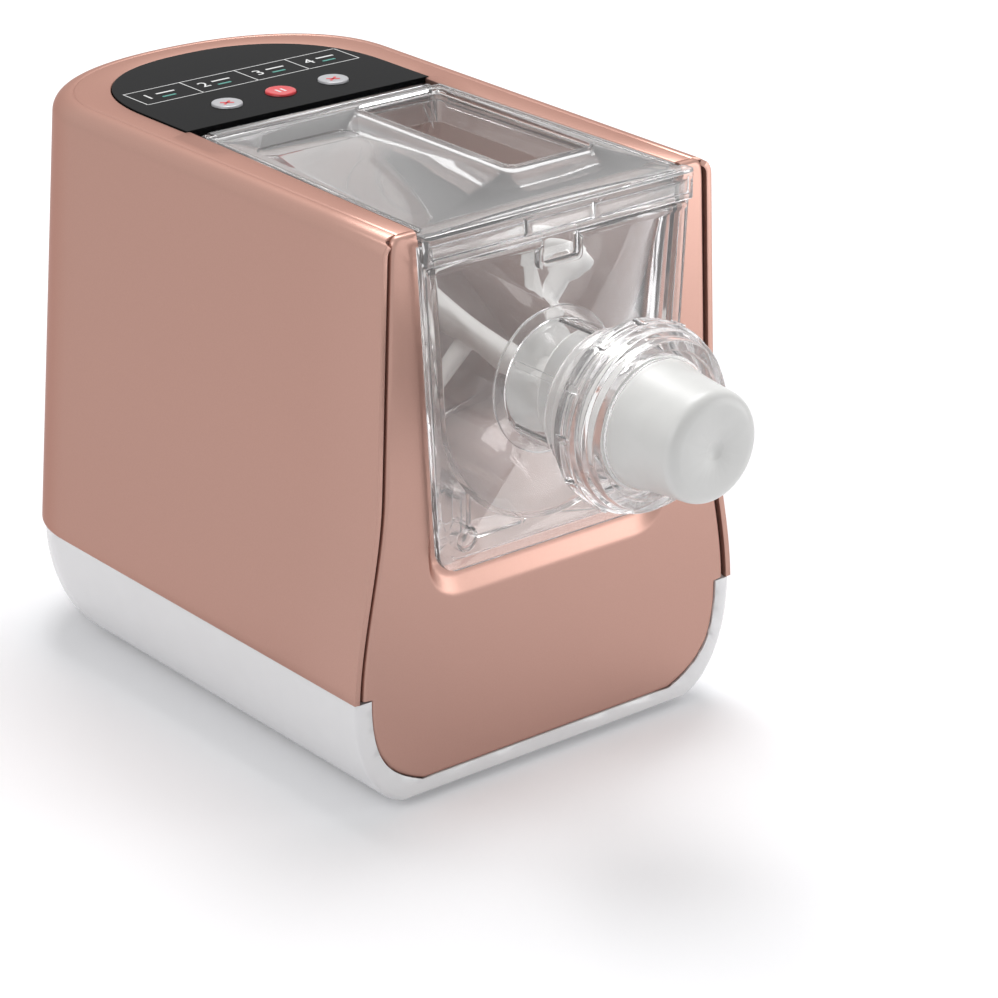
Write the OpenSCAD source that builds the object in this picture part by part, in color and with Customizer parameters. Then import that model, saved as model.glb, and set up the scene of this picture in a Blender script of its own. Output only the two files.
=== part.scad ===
// Electric pasta maker: a housing with a pull-out mixing bowl, a hinged lid, a screw
// extruder with a ring nut and die, three push buttons, and a geared motor behind the bowl.
// Millimetres. +Z is up, the front faces -Y, and the origin is on the table under the middle
// of the whole machine, nozzle included.

/* [Housing] */
// Height from the table to the top deck
body_h = 290; // [287:1:300]
// Length of the housing from the front face to the back
body_len = 329; // [327:1:350]
// Width of the housing across its top edge
top_w = 198; // [196:1:215]
// Half width that each leaning side gains from top to base
side_lean = 9.5; // [6:0.5:12]
// Half width that each side gains in the curve above the base
skirt_flare = 10.5; // [8:0.5:13]
// Height of the band in which that curve lies
skirt_h = 101; // [80:1:120]
// How far the back leans forward from the base to the top
back_lean = 4; // [0:0.5:6]
// Length of the rounded back of the housing
back_round = 79; // [74:1:88]
// Squareness of the rounded back, 2 for an ellipse
back_power = 2.2; // [2:0.1:2.6]
// Thickness of the moulded walls
wall = 3; // [2.6:0.1:3.4]
// Thickness of the top deck
deck_t = 6; // [5.5:0.5:7]
// Radius of the rounded top edge
rim_r = 9; // [7:0.5:10]
// Width of the shadow groove beside the front panel
groove_w = 2.2; // [1.5:0.1:3]
// Depth of that groove
groove_d = 1.8; // [1:0.1:2.2]

/* [Base] */
// Height of the top edge of the base
base_h = 64; // [60:1:68]
// Height of the rubber feet below the base
foot_h = 4; // [3:0.5:6]
// Radius of a foot
foot_r = 9; // [7:0.5:11]
// Sideways reach of the curved lower edge of the base
base_curve = 34; // [26:1:38]
// How far the back of the base curves in
back_curve = 30; // [24:1:34]
// Width of the base band seen round the front panel
band_w = 9.5; // [8:0.5:12]
// Height of the mains inlet above the top edge of the base
inlet_rise = 20; // [16:1:24]
// Thickness of the circuit boards
board_t = 1.6; // [1.2:0.1:2]

/* [Bay] */
// Length behind the bay for the gearbox, the motor and the mains inlet
drive_room = 142; // [139:1:144]
// Half width of the bay at its top front corner
bay_hw = 78; // [77:0.5:79]
// Half width of the bay at its top rear corner
bay_rear_hw = 72.4; // [72:0.1:74]
// Half width of the bay at its floor
bay_floor_hw = 68; // [67:0.5:70]
// Depth of the bay floor below the top deck
bay_depth = 169; // [168:1:172]
// Radius of the lower corners of the bay
bay_r = 10; // [6:1:12]
// Height of the bevelled sill under the bay opening
sill_h = 13; // [9:1:16]
// Depth of that bevel into the front panel
sill_d = 2; // [1:0.1:2.4]

/* [Bowl] */
// Distance of the shaft axis below the top deck
axis_depth = 90; // [88:0.5:92]
// Outer radius of the trough
trough_r = 69; // [67:0.5:69.5]
// Wall of the clear bowl
bowl_t = 2.5; // [2:0.1:3]
// Gap from the bowl to the bay beside it at the rim
bowl_gap = 2.4; // [2:0.1:3]
// Half width of the front plate at its top
plate_hw = 81.4; // [80:0.2:83]
// Half width of the front plate above its lower corners
plate_low_hw = 72; // [70:0.5:74]
// How far the front plate reaches below the bay floor
plate_drop = 2; // [1:0.5:5]
// Radius of its lower corners
plate_r = 12; // [8:1:15]
// How far the front plate stands out from the front face
plate_out = 5; // [4.4:0.1:6]
// Thickness of the front plate
plate_t = 3.8; // [3:0.1:4]

/* [Lid] */
// Thickness of the lid
lid_t = 2.5; // [2:0.1:3]
// Gap beside the lid
lid_gap = 1; // [0.6:0.1:1.5]
// Height of the flange along the front of the lid
flange_h = 15; // [12:0.5:18]
// Radius of the hinge barrel
hinge_r = 5.2; // [4.8:0.1:5.4]
// Radius of the hinge rod
rod_r = 2; // [1.6:0.1:2.4]
// Left edge of the pour opening
pour_x0 = 14; // [8:1:20]
// Right edge of the pour opening
pour_x1 = 66; // [56:0.5:66]
// Front edge of the pour opening
pour_y0 = 48; // [40:1:60]
// Distance from the pour opening to the rear wall of the bowl
pour_gap = 5; // [5:0.5:25]
// Depth of the skirt round the pour opening
pour_skirt = 14; // [8:1:16]

/* [Extruder] */
// Outer radius of the clear barrel
barrel_r = 31; // [30:0.1:31.4]
// Wall of the barrel
barrel_t = 4; // [3:0.1:5]
// Reach of the barrel in front of the front face
barrel_len = 62; // [56:1:66]
// Largest radius of the ring nut
nut_r = 46; // [43:0.5:48]
// Length of the ring nut
nut_len = 40; // [38:1:44]
// Reach of the nozzle in front of the front face
nose_len = 115; // [112:1:118]
// Radius of the die cap near its front
cap_r = 27.5; // [26.5:0.1:29]
// Diameter of one strand hole
strand_d = 2.4; // [1.6:0.1:2.6]
// Strand holes along each side of the die
strand_n = 5; // [3:1:5]
// Distance from one strand hole to the next
strand_pitch = 3.6; // [3.2:0.1:3.8]

/* [Shaft and paddle] */
// Radius of the mixing shaft
shaft_r = 5; // [4:0.1:5.5]
// Running clearance of the shaft and the gears
run_gap = 0.05; // [0.03:0.01:0.09]
// Sweep radius of the paddle
paddle_r = 63; // [56:0.5:64]
// Distance between turns of the screw
screw_pitch = 24; // [18:1:30]

/* [Gears] */
// Module of the gears at the output
out_module = 1.25; // [1.15:0.05:1.3]
// Module of the gears at the motor
in_module = 1; // [0.9:0.05:1.1]
// Teeth of the output gear
out_teeth = 72; // [60:6:72]
// Teeth of the large idler wheel
idler_teeth = 60; // [48:6:60]
// Teeth of each pinion
pinion_teeth = 12; // [12:1:13]
// Face width of the gears
gear_w = 12; // [8:1:13]

/* [Motor] */
// Radius of the motor case
motor_r = 36; // [30:1:38]
// Length of the motor from its flange to its tail
motor_len = 66; // [60:1:68]

/* [Controls] */
// Half width of the black control panel
panel_hw = 75; // [72:0.5:76]
// Length of the control panel
panel_len = 113; // [108:1:116]
// Thickness of the control panel
panel_t = 3; // [2.4:0.1:3.4]
// Radius of a button
button_r = 7.9; // [6.5:0.1:9]
// Distance from one button to the next
button_pitch = 33; // [28:1:36]
// Distance of the buttons behind the front edge of the panel
button_back = 25.5; // [20:0.5:27]
// How far a button stands above the panel
button_proud = 1; // [0.8:0.1:1.5]
// How far a button travels
button_travel = 1; // [0.6:0.1:1.2]

/* [Hidden] */
$fn = 64;
// A hair beyond a face, so that a cut goes right through it
eps = 1;
// The gap between pieces that meet without a fit
seat = 0.3;
hull_fn = 32;
// The front face stands this far from the origin
front_y = (nose_len - body_len) / 2;
arc_n = 36;
bay_len = body_len - drive_room;
bay_floor_z = body_h - bay_depth;
axis_z = body_h - axis_depth;
plate_low_z = bay_floor_z - plate_drop;
shoulder_y = body_len - back_round;
skirt_z = base_h + skirt_h;
deck_z = body_h - deck_t;
base_z = foot_h;
floor_z = base_z + wall;

// ---- shared outline of the housing ----

function ease(t) = let (c = min(1, max(0, t))) c * c * (3 - 2 * c);
function lerp(a, b, t) = a + (b - a) * t;
function down(z) = (body_h - z) / (body_h - base_h);
// Half width of the front face at height z, curving out above the base
function half_w(z) = top_w / 2 + side_lean * down(z) + skirt_flare * ease((skirt_z - z) / skirt_h);
// Half width further back, where the side runs down straight
function rear_half_w(z) = top_w / 2 + (side_lean + skirt_flare) * down(z);
function back_at(z) = body_len - back_lean * (1 - down(z));
// A circle's coordinate, squared off by the power of the back
function squared(v, p) = sign(v) * pow(abs(v), 2 / p);
// Plan outline: sides from the front to the shoulder, then the rounded back
side_n = 4;
function plan(front_hw, hw, front, shoulder, back, p) = concat(
    [for (i = [0:side_n - 1]) let (t = i / side_n) [lerp(front_hw, hw, t), lerp(front, shoulder, t)]],
    [for (i = [0:arc_n]) let (a = 180 * i / arc_n)
        [hw * squared(cos(a), p), shoulder + (back - shoulder) * squared(sin(a), p)]],
    [for (i = [side_n - 1:-1:0]) let (t = i / side_n) [-lerp(front_hw, hw, t), lerp(front, shoulder, t)]]);
function raise(pts, z) = [for (p = pts) [p[0], p[1], z]];

// A ring's end face, as strips from one side of the ring to the other
function end_strips(n) = let (half = floor(n / 2)) concat(
    [for (i = [0:half - 2]) [i, i + 1, n - 2 - i, n - 1 - i]],
    n % 2 == 1 ? [[half - 1, half, half + 1]] : []);
// A solid through rings of points, each ring with as many points as the first
module loft(rings) {
    n = len(rings[0]);
    m = len(rings);
    polyhedron(
        points = [for (r = rings) each r],
        faces = concat(
            end_strips(n),
            [for (k = [0:m - 2], i = [0:n - 1]) let (j = (i + 1) % n, a = k * n, b = a + n)
                each [[a + i, b + i, b + j], [a + i, b + j, a + j]]],
            [for (f = end_strips(n)) [for (i = [len(f) - 1:-1:0]) (m - 1) * n + f[i]]]),
        convexity = 6);
}

// A flat outline in X and Z, standing from y0 to y1
module slab_xz(y0, y1)
    translate([0, y1, 0]) rotate([90, 0, 0]) linear_extrude(y1 - y0) children();

// A cylinder or bore along Y
module rod_y(r, y0, y1, x = 0, z = 0)
    translate([x, y0, z]) rotate([-90, 0, 0]) cylinder(r = r, h = y1 - y0);

// A turned piece about the shaft axis: the profile's points are radius and y
module turned(profile, fn = 96)
    translate([0, 0, axis_z]) rotate([-90, 0, 0]) rotate_extrude($fn = fn) polygon(profile);

module tube_y(r, bore, y0, y1, x = 0, z = 0)
    difference() {
        rod_y(r, y0, y1, x, z);
        rod_y(bore, y0 - eps, y1 + eps, x, z);
    }

module both_sides() {
    children();
    mirror([1, 0, 0]) children();
}

module at_front() translate([0, front_y, 0]) children();

// ---- base ----

// Height of the ellipse that rounds the lower edge, and the height where it starts
curve_top = base_h - 4;
function base_turn(z) = 1 - sqrt(max(0, 1 - pow(max(0, curve_top - z) / (curve_top - base_z + 0.6), 2)));
function base_hw(z) = half_w(base_h) - 0.5 - base_curve * base_turn(z);
function base_back(z) = body_len - 6 - back_curve * base_turn(z);
function base_front(z) = 4 * ease((base_z + 5 - z) / 5);
base_levels = [for (t = [0, 0.02, 0.06, 0.12, 0.2, 0.32, 0.5, 0.75, 1]) lerp(base_z, base_h - 0.4, t)];
function base_ring(z, inset, drop) = raise(plan(base_hw(z) - inset, base_hw(z) - inset,
    base_front(z) + inset, shoulder_y, base_back(z) - inset, back_power), z + drop);

// Posts that carry the bay liner
post_x = 55;
post_ys = [32, bay_len - 37];
post_r = 6.5;
post_top = base_h + 2;
screw_r = 2;
screw_head_r = 3.7;
screw_head_h = 2.6;
post_seat_z = post_top - 9;
foot_x = 78;
foot_ys = [26, shoulder_y + 32];
foot_stem_r = 3.5;

// Board and motor supports on the floor of the base
board_x = post_x - post_r - 1.5;
board_y0 = 62;
board_y1 = board_y0 + 74;
board_z = floor_z + 12;
standoff_r = 4;
standoff_x = board_x - 7;
standoff_ys = [board_y0 + 7, board_y1 - 7];
board_screw_r = 1.5;

module vent_rows(count, pitch, w, l)
    for (i = [0:count - 1]) translate([(i - (count - 1) / 2) * pitch - w / 2, 0, 0]) square([w, l]);

module base_tray() at_front() color("white") {
    difference() {
        union() {
            difference() {
                loft([for (z = base_levels) base_ring(z, 0, 0)]);
                loft([for (z = base_levels) base_ring(z, wall, wall)]);
            }
            // The front wall behind the panel
            slab_xz(front_back_y + seat, front_back_y + seat + wall) front_wall_outline();
            for (y = post_ys) both_sides()
                translate([post_x, y, base_z + 1]) cylinder(r = post_r, h = post_top - base_z - 1);
            for (y = standoff_ys) both_sides()
                translate([standoff_x, y, base_z + 1]) cylinder(r = standoff_r, h = board_z - base_z - 1);
            both_sides() translate([saddle_x - saddle_w / 2, saddle_y0, base_z + 1])
                cube([saddle_w, saddle_len, rib_top - base_z - 1]);
        }
        // The front panel's seat in the front wall
        slab_xz(-eps, front_back_y + seat) panel_low_outline(seat);
        for (y = post_ys) both_sides() {
            translate([post_x, y, -eps]) cylinder(r = screw_head_r + 0.4, h = post_seat_z + eps);
            translate([post_x, y, 0]) cylinder(r = screw_r + 0.1, h = post_top + eps);
        }
        for (y = standoff_ys) both_sides()
            translate([standoff_x, y, board_z - 7]) cylinder(r = board_screw_r + run_gap, h = 8);
        for (y = foot_ys) both_sides()
            translate([foot_x, y, -eps]) cylinder(r = foot_stem_r + run_gap, h = floor_z + 2 * eps);
        both_sides() rod_y(panel_boss_r + run_gap, 0, front_back_y + 3 * wall, panel_boss_x, panel_boss_z);
        // Air slots under the motor
        translate([0, saddle_y0, -eps]) linear_extrude(floor_z + 2 * eps) vent_rows(5, 9, 3, saddle_len);
    }
}

module rubber_feet() at_front() color("dimgray")
    for (y = foot_ys) both_sides() translate([foot_x, y, 0]) {
        cylinder(r1 = foot_r - 1, r2 = foot_r, h = 1);
        translate([0, 0, 1]) cylinder(r = foot_r, h = base_z - 1);
        cylinder(r = foot_stem_r, h = floor_z + 1);
    }

module screw_up(r, head_r, head_h, z_head, z_tip) {
    translate([0, 0, z_head - head_h]) cylinder(r = head_r, h = head_h);
    translate([0, 0, z_head - 0.5]) cylinder(r = r, h = z_tip - z_head + 0.5);
}

module base_screws() at_front() color("silver")
    for (y = post_ys) both_sides() translate([post_x, y, 0])
        screw_up(screw_r, screw_head_r, screw_head_h, post_seat_z, post_top + 12);

// ---- body shell ----

rim_steps = [0, 30, 60, 90];
shell_levels = concat([for (z = [base_h, base_h + 12, base_h + 24, base_h + 36, base_h + 48,
    base_h + 62, base_h + 80, skirt_z, skirt_z + 60]) z], [body_h - rim_r]);
function shell_ring(z, inset, front) = raise(plan(half_w(z) - inset, rear_half_w(z) - inset,
    front, shoulder_y, back_at(z) - inset, back_power), z);
inner_levels = [base_h - eps, base_h + 14, base_h + 28, base_h + 42, base_h + 58, base_h + 76,
    skirt_z, deck_z];

// Control panel outline, with its straight edge along the back of the bay
panel_y0 = bay_len + 1.3;
panel_shoulder = panel_y0 + panel_len - 76;
module panel_outline(grow, front)
    polygon(plan(panel_hw + grow, panel_hw + grow, front, panel_shoulder, panel_y0 + panel_len + grow, 2.3));
ledge = 4;
panel_z = body_h + 0.4 - panel_t;
hatch_y0 = bay_len + wall + seat;

module bay_plan(grow, y0, y1)
    polygon([for (p = [[y0, 1], [y1, 1], [y1, -1], [y0, -1]])
        [p[1] * (lerp(bay_hw, bay_rear_hw, p[0] / bay_len) + grow), p[0]]]);

// Mains inlet in the back of the shell
inlet_w = 30;
inlet_h = 19;
inlet_z = base_h + inlet_rise;
inlet_depth = 22;

module body_shell() at_front() color("rosybrown")
    difference() {
        loft(concat(
            [for (z = shell_levels) shell_ring(z, 0, 0)],
            [for (a = rim_steps) if (a > 0)
                shell_ring(body_h - rim_r * (1 - sin(a)), rim_r * (1 - cos(a)), 0)]));
        loft([for (z = inner_levels) shell_ring(z, wall, -eps)]);
        // The front panel's place in the deck, between the side walls
        translate([wall - half_w(body_h), -eps, deck_z - eps])
            cube([2 * half_w(body_h) - 2 * wall, front_back_y + seat + eps, deck_t + 2 * eps]);
        // The top of the bay
        translate([0, 0, deck_z - eps]) linear_extrude(deck_t + 2 * eps) bay_plan(0.5, -eps, panel_y0);
        // The control panel's recess and the hatch under it
        translate([0, 0, panel_z]) linear_extrude(deck_t) panel_outline(seat, panel_y0 - seat);
        translate([0, 0, deck_z - eps]) linear_extrude(deck_t)
            intersection() {
                panel_outline(-ledge, hatch_y0);
                translate([-top_w, hatch_y0]) square([2 * top_w, body_len]);
            }
        // Holes for the liner and frame screws
        for (p = liner_screw_places) both_sides() translate([p[0], p[1], deck_z - eps])
            cylinder(r = board_screw_r + run_gap, h = eps + 4.5);
        for (p = frame_screw_places) both_sides() translate([p[0], p[1], deck_z - eps])
            cylinder(r = board_screw_r + run_gap, h = eps + 2.6);
        // Air slots and the mains inlet in the back
        translate([0, body_len + eps, axis_z - 30]) rotate([90, 0, 0]) linear_extrude(back_round / 2)
            vent_rows(9, 9, 3, 44);
        translate([-inlet_w / 2 - seat, body_len - 30, inlet_z - inlet_h / 2 - seat])
            cube([inlet_w + 2 * seat, 40, inlet_h + 2 * seat]);
    }

// ---- front panel ----

front_back_y = 3.4;
panel_levels = [for (i = [0:8]) lerp(base_h + 0.5, skirt_z, i / 8)];
panel_low_z = base_z + 9;
// Lower edge of the panel, inside the band of the base
function low_hw(z) = base_hw(z) - band_w;
low_turn = 15;
low_levels = [for (t = [0, 0.05, 0.12, 0.22, 0.36, 0.55, 0.78, 1]) lerp(panel_low_z, base_h + 0.5, t)];
function low_side(grow) = [for (z = low_levels)
    [low_hw(z) - low_turn * pow((base_h - z) / (base_h - panel_low_z), 6) + grow,
        z - (z < base_h ? grow : 0)]];

module mirrored_outline(side)
    polygon(concat(side, [for (i = [len(side) - 1:-1:0]) [-side[i][0], side[i][1]]]));
module panel_low_outline(grow) mirrored_outline(concat(low_side(grow),
    [[low_side(grow)[len(low_levels) - 1][0], base_h + eps]]));
module front_wall_outline() mirrored_outline(
    [for (z = [base_z + 2, base_z + 4, base_z + 10, base_z + 20, base_z + 34, base_h - 4])
        [base_hw(z) - wall - 2, z]]);
module panel_outer_outline(inset) mirrored_outline(concat(low_side(0),
    [for (z = concat(panel_levels, [body_h - 4])) [half_w(z) - wall - inset, z]],
    [for (a = [0, 30, 60, 90])
        [half_w(body_h) - wall - inset - 4 * (1 - cos(a)), body_h - 0.3 - 3.7 * (1 - sin(a))]]));

// Bay section in X and Z: a corner arc, then the side up to the top
function bay_side(top_hw, grow, top) = concat(
    [for (i = [0:6]) let (a = -90 + 15 * i)
        [bay_floor_hw + grow - bay_r * (1 - cos(a)), bay_floor_z - grow + bay_r * (1 + sin(a))]],
    [[lerp(bay_floor_hw, top_hw, (top - bay_floor_z) / (deck_z - bay_floor_z)) + grow, top]]);
function section_ring(side, y) = concat([for (p = side) [p[0], y, p[1]]],
    [for (i = [len(side) - 1:-1:0]) [-side[i][0], y, side[i][1]]]);

panel_boss_x = 62;
panel_boss_r = 4;
panel_boss_z = 34;
// The back of the base's front wall, where the panel screws bear
panel_screw_y = front_back_y + seat + wall;

module front_panel() at_front() color("rosybrown")
    difference() {
        union() {
            slab_xz(0, groove_d) panel_outer_outline(groove_w);
            slab_xz(groove_d - 0.5, front_back_y) panel_outer_outline(seat);
            both_sides()
                rod_y(panel_boss_r, front_back_y - 0.5, panel_screw_y, panel_boss_x, panel_boss_z);
        }
        slab_xz(-eps, front_back_y + eps) mirrored_outline(bay_side(bay_hw, 0.5, body_h + eps));
        // The bevelled sill
        loft([section_ring(bay_side(bay_hw, 0.5, body_h + 2 * eps), sill_d),
            section_ring([for (p = bay_side(bay_hw, 0.5, body_h + 2 * eps))
                [p[0] + 4 * max(0, 1 - (p[1] - bay_floor_z) / 120),
                    p[1] - (sill_h + 4) * max(0, 1 - (p[1] - bay_floor_z) / (bay_r * 1.5))]], -eps)]);
        both_sides() rod_y(board_screw_r + run_gap, 1.6, front_back_y + 3 * wall, panel_boss_x, panel_boss_z);
    }

module panel_screws() at_front() color("silver") both_sides() {
    rod_y(6, panel_screw_y + 0.1, panel_screw_y + 2.3, panel_boss_x, panel_boss_z);
    rod_y(board_screw_r, 1.8, panel_screw_y + 0.6, panel_boss_x, panel_boss_z);
}

// ---- bay liner ----

liner_t = 2;
liner_front = front_back_y + 0.1;
liner_flange = 8;
liner_screw_places = [[bay_hw + 5.2, 24], [bay_rear_hw + 6.6, bay_len - 19]];
bush_r = 9;
out_shaft_r = 7;

module bay_liner() at_front() color("rosybrown")
    difference() {
        union() {
            loft([section_ring(bay_side(bay_rear_hw, liner_t, deck_z - 0.1), bay_len + wall),
                section_ring(bay_side(bay_hw, liner_t, deck_z - 0.1), liner_front)]);
            for (y = post_ys) both_sides()
                translate([post_x, y, post_top]) cylinder(r = post_r, h = bay_floor_z - post_top);
            translate([0, 0, deck_z - 0.1 - liner_t]) linear_extrude(liner_t)
                bay_plan(liner_flange + 2, liner_front, bay_len + wall);
        }
        loft([section_ring(bay_side(bay_rear_hw, 0, deck_z + eps), bay_len),
            section_ring(bay_side(bay_hw, 0, deck_z + eps), liner_front - eps)]);
        for (p = liner_screw_places) both_sides() translate([p[0], p[1], deck_z - 2 * liner_t])
            cylinder(r = board_screw_r + 0.1, h = 2 * liner_t + eps);
        for (y = post_ys) both_sides()
            translate([post_x, y, post_top - eps]) cylinder(r = screw_r + run_gap, h = 13 + eps);
        rod_y(bush_r + run_gap, bay_len - eps, bay_len + wall + eps, 0, axis_z);
        for (p = gearbox_screw_places) both_sides()
            rod_y(screw_r + run_gap, bay_len + 0.6, bay_len + wall + eps, p[0], p[1]);
    }

module liner_screws() at_front() color("silver")
    for (p = liner_screw_places) both_sides() translate([p[0], p[1], 0])
        screw_up(board_screw_r, 2.8, 1.8, deck_z - 0.1 - liner_t, deck_z + 4);

// ---- controls ----

button_y = panel_y0 + button_back;
button_xs = [-button_pitch, 0, button_pitch];
button_top = body_h + 0.4 + button_proud;
collar_z = panel_z - 0.2;
collar_t = 1.4;
stem_r = 3.5;
frame_z = body_h - 18;
frame_t = 2;
guide_top = collar_z - collar_t - button_travel - 1.6;
stem_low = frame_z - 3;
switch_z = stem_low - button_travel - seat;
ctrl_board_z = switch_z - 6.6;
spring_r = 6;
spring_wire = 0.4;
frame_screw_places = [[panel_hw + 5, panel_y0 + 14], [panel_hw + 5, panel_y0 + 44]];
frame_hw = panel_hw + 9;
frame_len = 46;
ctrl_hw = 50;
ctrl_y0 = panel_y0 + 10;
ctrl_y1 = ctrl_y0 + frame_len - 10;
ctrl_post_ys = [ctrl_y0 + 4, ctrl_y1 - 4];

module control_panel() at_front() color("black")
    translate([0, 0, panel_z]) linear_extrude(panel_t) difference() {
        panel_outline(0, panel_y0);
        for (x = button_xs) translate([x, button_y]) circle(r = button_r + 0.25);
    }

module button_frame() at_front() color("gainsboro")
    difference() {
        union() {
            translate([-frame_hw, panel_y0 + 6, frame_z]) cube([2 * frame_hw, frame_len, frame_t]);
            for (p = frame_screw_places) both_sides()
                translate([p[0], p[1], frame_z]) cylinder(r = 4, h = deck_z - frame_z);
            for (x = button_xs) translate([x, button_y, frame_z])
                cylinder(r = stem_r + 1.6, h = guide_top - frame_z);
            for (y = ctrl_post_ys) both_sides() translate([ctrl_hw - 4, y, ctrl_board_z + board_t])
                cylinder(r = 3, h = frame_z - ctrl_board_z - board_t + 0.5);
        }
        for (x = button_xs) translate([x, button_y, frame_z - eps])
            cylinder(r = stem_r + run_gap, h = guide_top - frame_z + 2 * eps);
        for (p = frame_screw_places) both_sides()
            translate([p[0], p[1], frame_z - eps])
                cylinder(r = board_screw_r + 0.1, h = deck_z - frame_z + 2 * eps);
    }

module frame_screws() at_front() color("silver")
    for (p = frame_screw_places) both_sides() translate([p[0], p[1], 0])
        screw_up(board_screw_r, 2.8, 1.8, frame_z, deck_z + 2.4);

module push_button(x, tint) at_front() color(tint)
    translate([x, button_y, 0]) {
        translate([0, 0, collar_z - collar_t]) cylinder(r = button_r + 1.5, h = collar_t);
        translate([0, 0, collar_z - collar_t])
            cylinder(r = button_r, h = button_top - collar_z + collar_t - 0.6);
        translate([0, 0, button_top - 0.6]) cylinder(r1 = button_r, r2 = button_r - 0.6, h = 0.6);
        translate([0, 0, stem_low]) cylinder(r = stem_r, h = collar_z - collar_t - stem_low);
    }
module start_button() push_button(button_xs[0], "silver");
module stop_button() push_button(button_xs[1], "crimson");
module mode_button() push_button(button_xs[2], "silver");

// A coil spring: rings of wire along a helix
spring_turns = 3;
spring_steps = 12;
wire_sides = 6;
module coil_spring(x) at_front() color("silver") {
    z0 = frame_z + frame_t + spring_wire + 0.05;
    z1 = collar_z - collar_t - spring_wire - 0.05;
    steps = spring_turns * spring_steps;
    translate([x, button_y, 0])
        loft([for (i = [0:steps]) let (a = 360 * i / spring_steps, z = lerp(z0, z1, i / steps))
            [for (k = [0:wire_sides - 1]) let (b = 360 * k / wire_sides, r = spring_r + spring_wire * cos(b))
                [r * cos(a), r * sin(a), z - spring_wire * sin(b)]]]);
}
module start_spring() coil_spring(button_xs[0]);
module stop_spring() coil_spring(button_xs[1]);
module mode_spring() coil_spring(button_xs[2]);

module control_board() at_front() color("darkgreen") {
    translate([-ctrl_hw, ctrl_y0, ctrl_board_z]) cube([2 * ctrl_hw, ctrl_y1 - ctrl_y0, board_t]);
    for (x = button_xs) translate([x, button_y, ctrl_board_z]) {
        translate([-3, -3, 0.5]) cube([6, 6, switch_z - ctrl_board_z - 1.5]);
        cylinder(r = 1.75, h = switch_z - ctrl_board_z);
    }
}

module power_board() at_front() color("seagreen")
    difference() {
        union() {
            translate([-board_x, board_y0, board_z]) cube([2 * board_x, board_y1 - board_y0, board_t]);
            translate([-40, board_y0 + 20, board_z + 1]) cube([28, 34, 26]);
            translate([6, board_y0 + 12, board_z + 1]) cube([18, 14, 16]);
            for (x = [board_x - 17, board_x - 6])
                translate([x, board_y1 - 26, board_z + 1]) cylinder(r = 5, h = 22);
            translate([4, board_y1 - 30, board_z + 1]) cube([20, 4, 24]);
        }
        for (y = standoff_ys) both_sides()
            translate([standoff_x, y, board_z - eps]) cylinder(r = board_screw_r + 0.1, h = 4);
    }

module board_screws() at_front() color("silver")
    for (y = standoff_ys) both_sides() translate([standoff_x, y, 0]) {
        translate([0, 0, board_z + board_t]) cylinder(r = 2.8, h = 1.8);
        translate([0, 0, board_z - 6]) cylinder(r = board_screw_r, h = 6 + board_t + 0.5);
    }

module mains_inlet() at_front() color("black")
    difference() {
        union() {
            translate([-inlet_w / 2, body_len - inlet_depth, inlet_z - inlet_h / 2])
                cube([inlet_w, inlet_depth - 0.8, inlet_h]);
            translate([-inlet_w / 2 - 4, body_len - wall - 6, inlet_z - inlet_h / 2 - 3])
                cube([inlet_w + 8, 1.5, inlet_h + 6]);
        }
        slab_xz(body_len - 15, body_len + eps) translate([0, inlet_z]) {
            for (s = [-1, 1]) translate([s * 4.3, 0]) circle(r = 5);
            translate([-4.3, -3.5]) square([8.6, 7]);
        }
        for (s = [-1, 1]) rod_y(1.2, body_len - inlet_depth - eps, body_len, s * 4.3, inlet_z);
    }

module inlet_pins() at_front() color("gold") for (s = [-1, 1])
    rod_y(1.15, body_len - inlet_depth - 5, body_len - 5, s * 4.3, inlet_z);

module lid_sensor() at_front() color("black")
    translate([sensor_x, bay_len + wall + 0.1, sensor_z]) cube([16, 7, 9]);
sensor_x = 50;
sensor_z = deck_z - 26;

// ---- gearbox ----

out_r = out_module * out_teeth / 2;
centre_out = out_module * (out_teeth + pinion_teeth) / 2;
centre_in = in_module * (idler_teeth + pinion_teeth) / 2;
idler_z = axis_z - centre_out;
motor_z = idler_z - centre_in;
idler_r = in_module * idler_teeth / 2;
case_t = 2.4;
case_y0 = bay_len + wall + 0.1;
gear_y0 = case_y0 + case_t + 1.5;
idler_y0 = gear_y0 + gear_w + 1.5;
case_y1 = idler_y0 + gear_w + 2;
cover_y1 = case_y1 + case_t;
case_gap = 2.5;
ear_r = 7;
gearbox_screw_places = [[out_r + 9, axis_z + 20], [idler_r + 12, idler_z - 12]];
motor_screw_x = 22;
motor_screw_z = 8;
pin_r = 4;

module case_outline(grow) {
    translate([0, axis_z]) circle(r = out_r + out_module + case_gap + grow, $fn = 96);
    translate([0, idler_z]) circle(r = idler_r + in_module + case_gap + grow, $fn = 96);
    translate([0, motor_z]) circle(r = 14 + grow);
    translate([-14 - grow, motor_z]) square([28 + 2 * grow, idler_z - motor_z]);
}

module ears(y0, y1)
    for (p = gearbox_screw_places) both_sides() {
        rod_y(ear_r, y0, y1, p[0], p[1]);
        translate([p[0] - 16, y0, p[1] - 3]) cube([16, y1 - y0, 6]);
    }

module gearbox_case() at_front() color("slategray")
    difference() {
        union() {
            slab_xz(case_y0, case_y1) case_outline(case_t);
            ears(case_y0, case_y1);
        }
        slab_xz(case_y0 + case_t, case_y1 + eps) case_outline(0);
        for (p = gearbox_screw_places) both_sides()
            rod_y(screw_r + 0.1, case_y0 - eps, case_y1 + eps, p[0], p[1]);
        rod_y(bush_r + run_gap, case_y0 - eps, case_y0 + case_t + eps, 0, axis_z);
        rod_y(pin_r + run_gap, case_y0 + 0.6, case_y0 + case_t + eps, 0, idler_z);
    }

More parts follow.
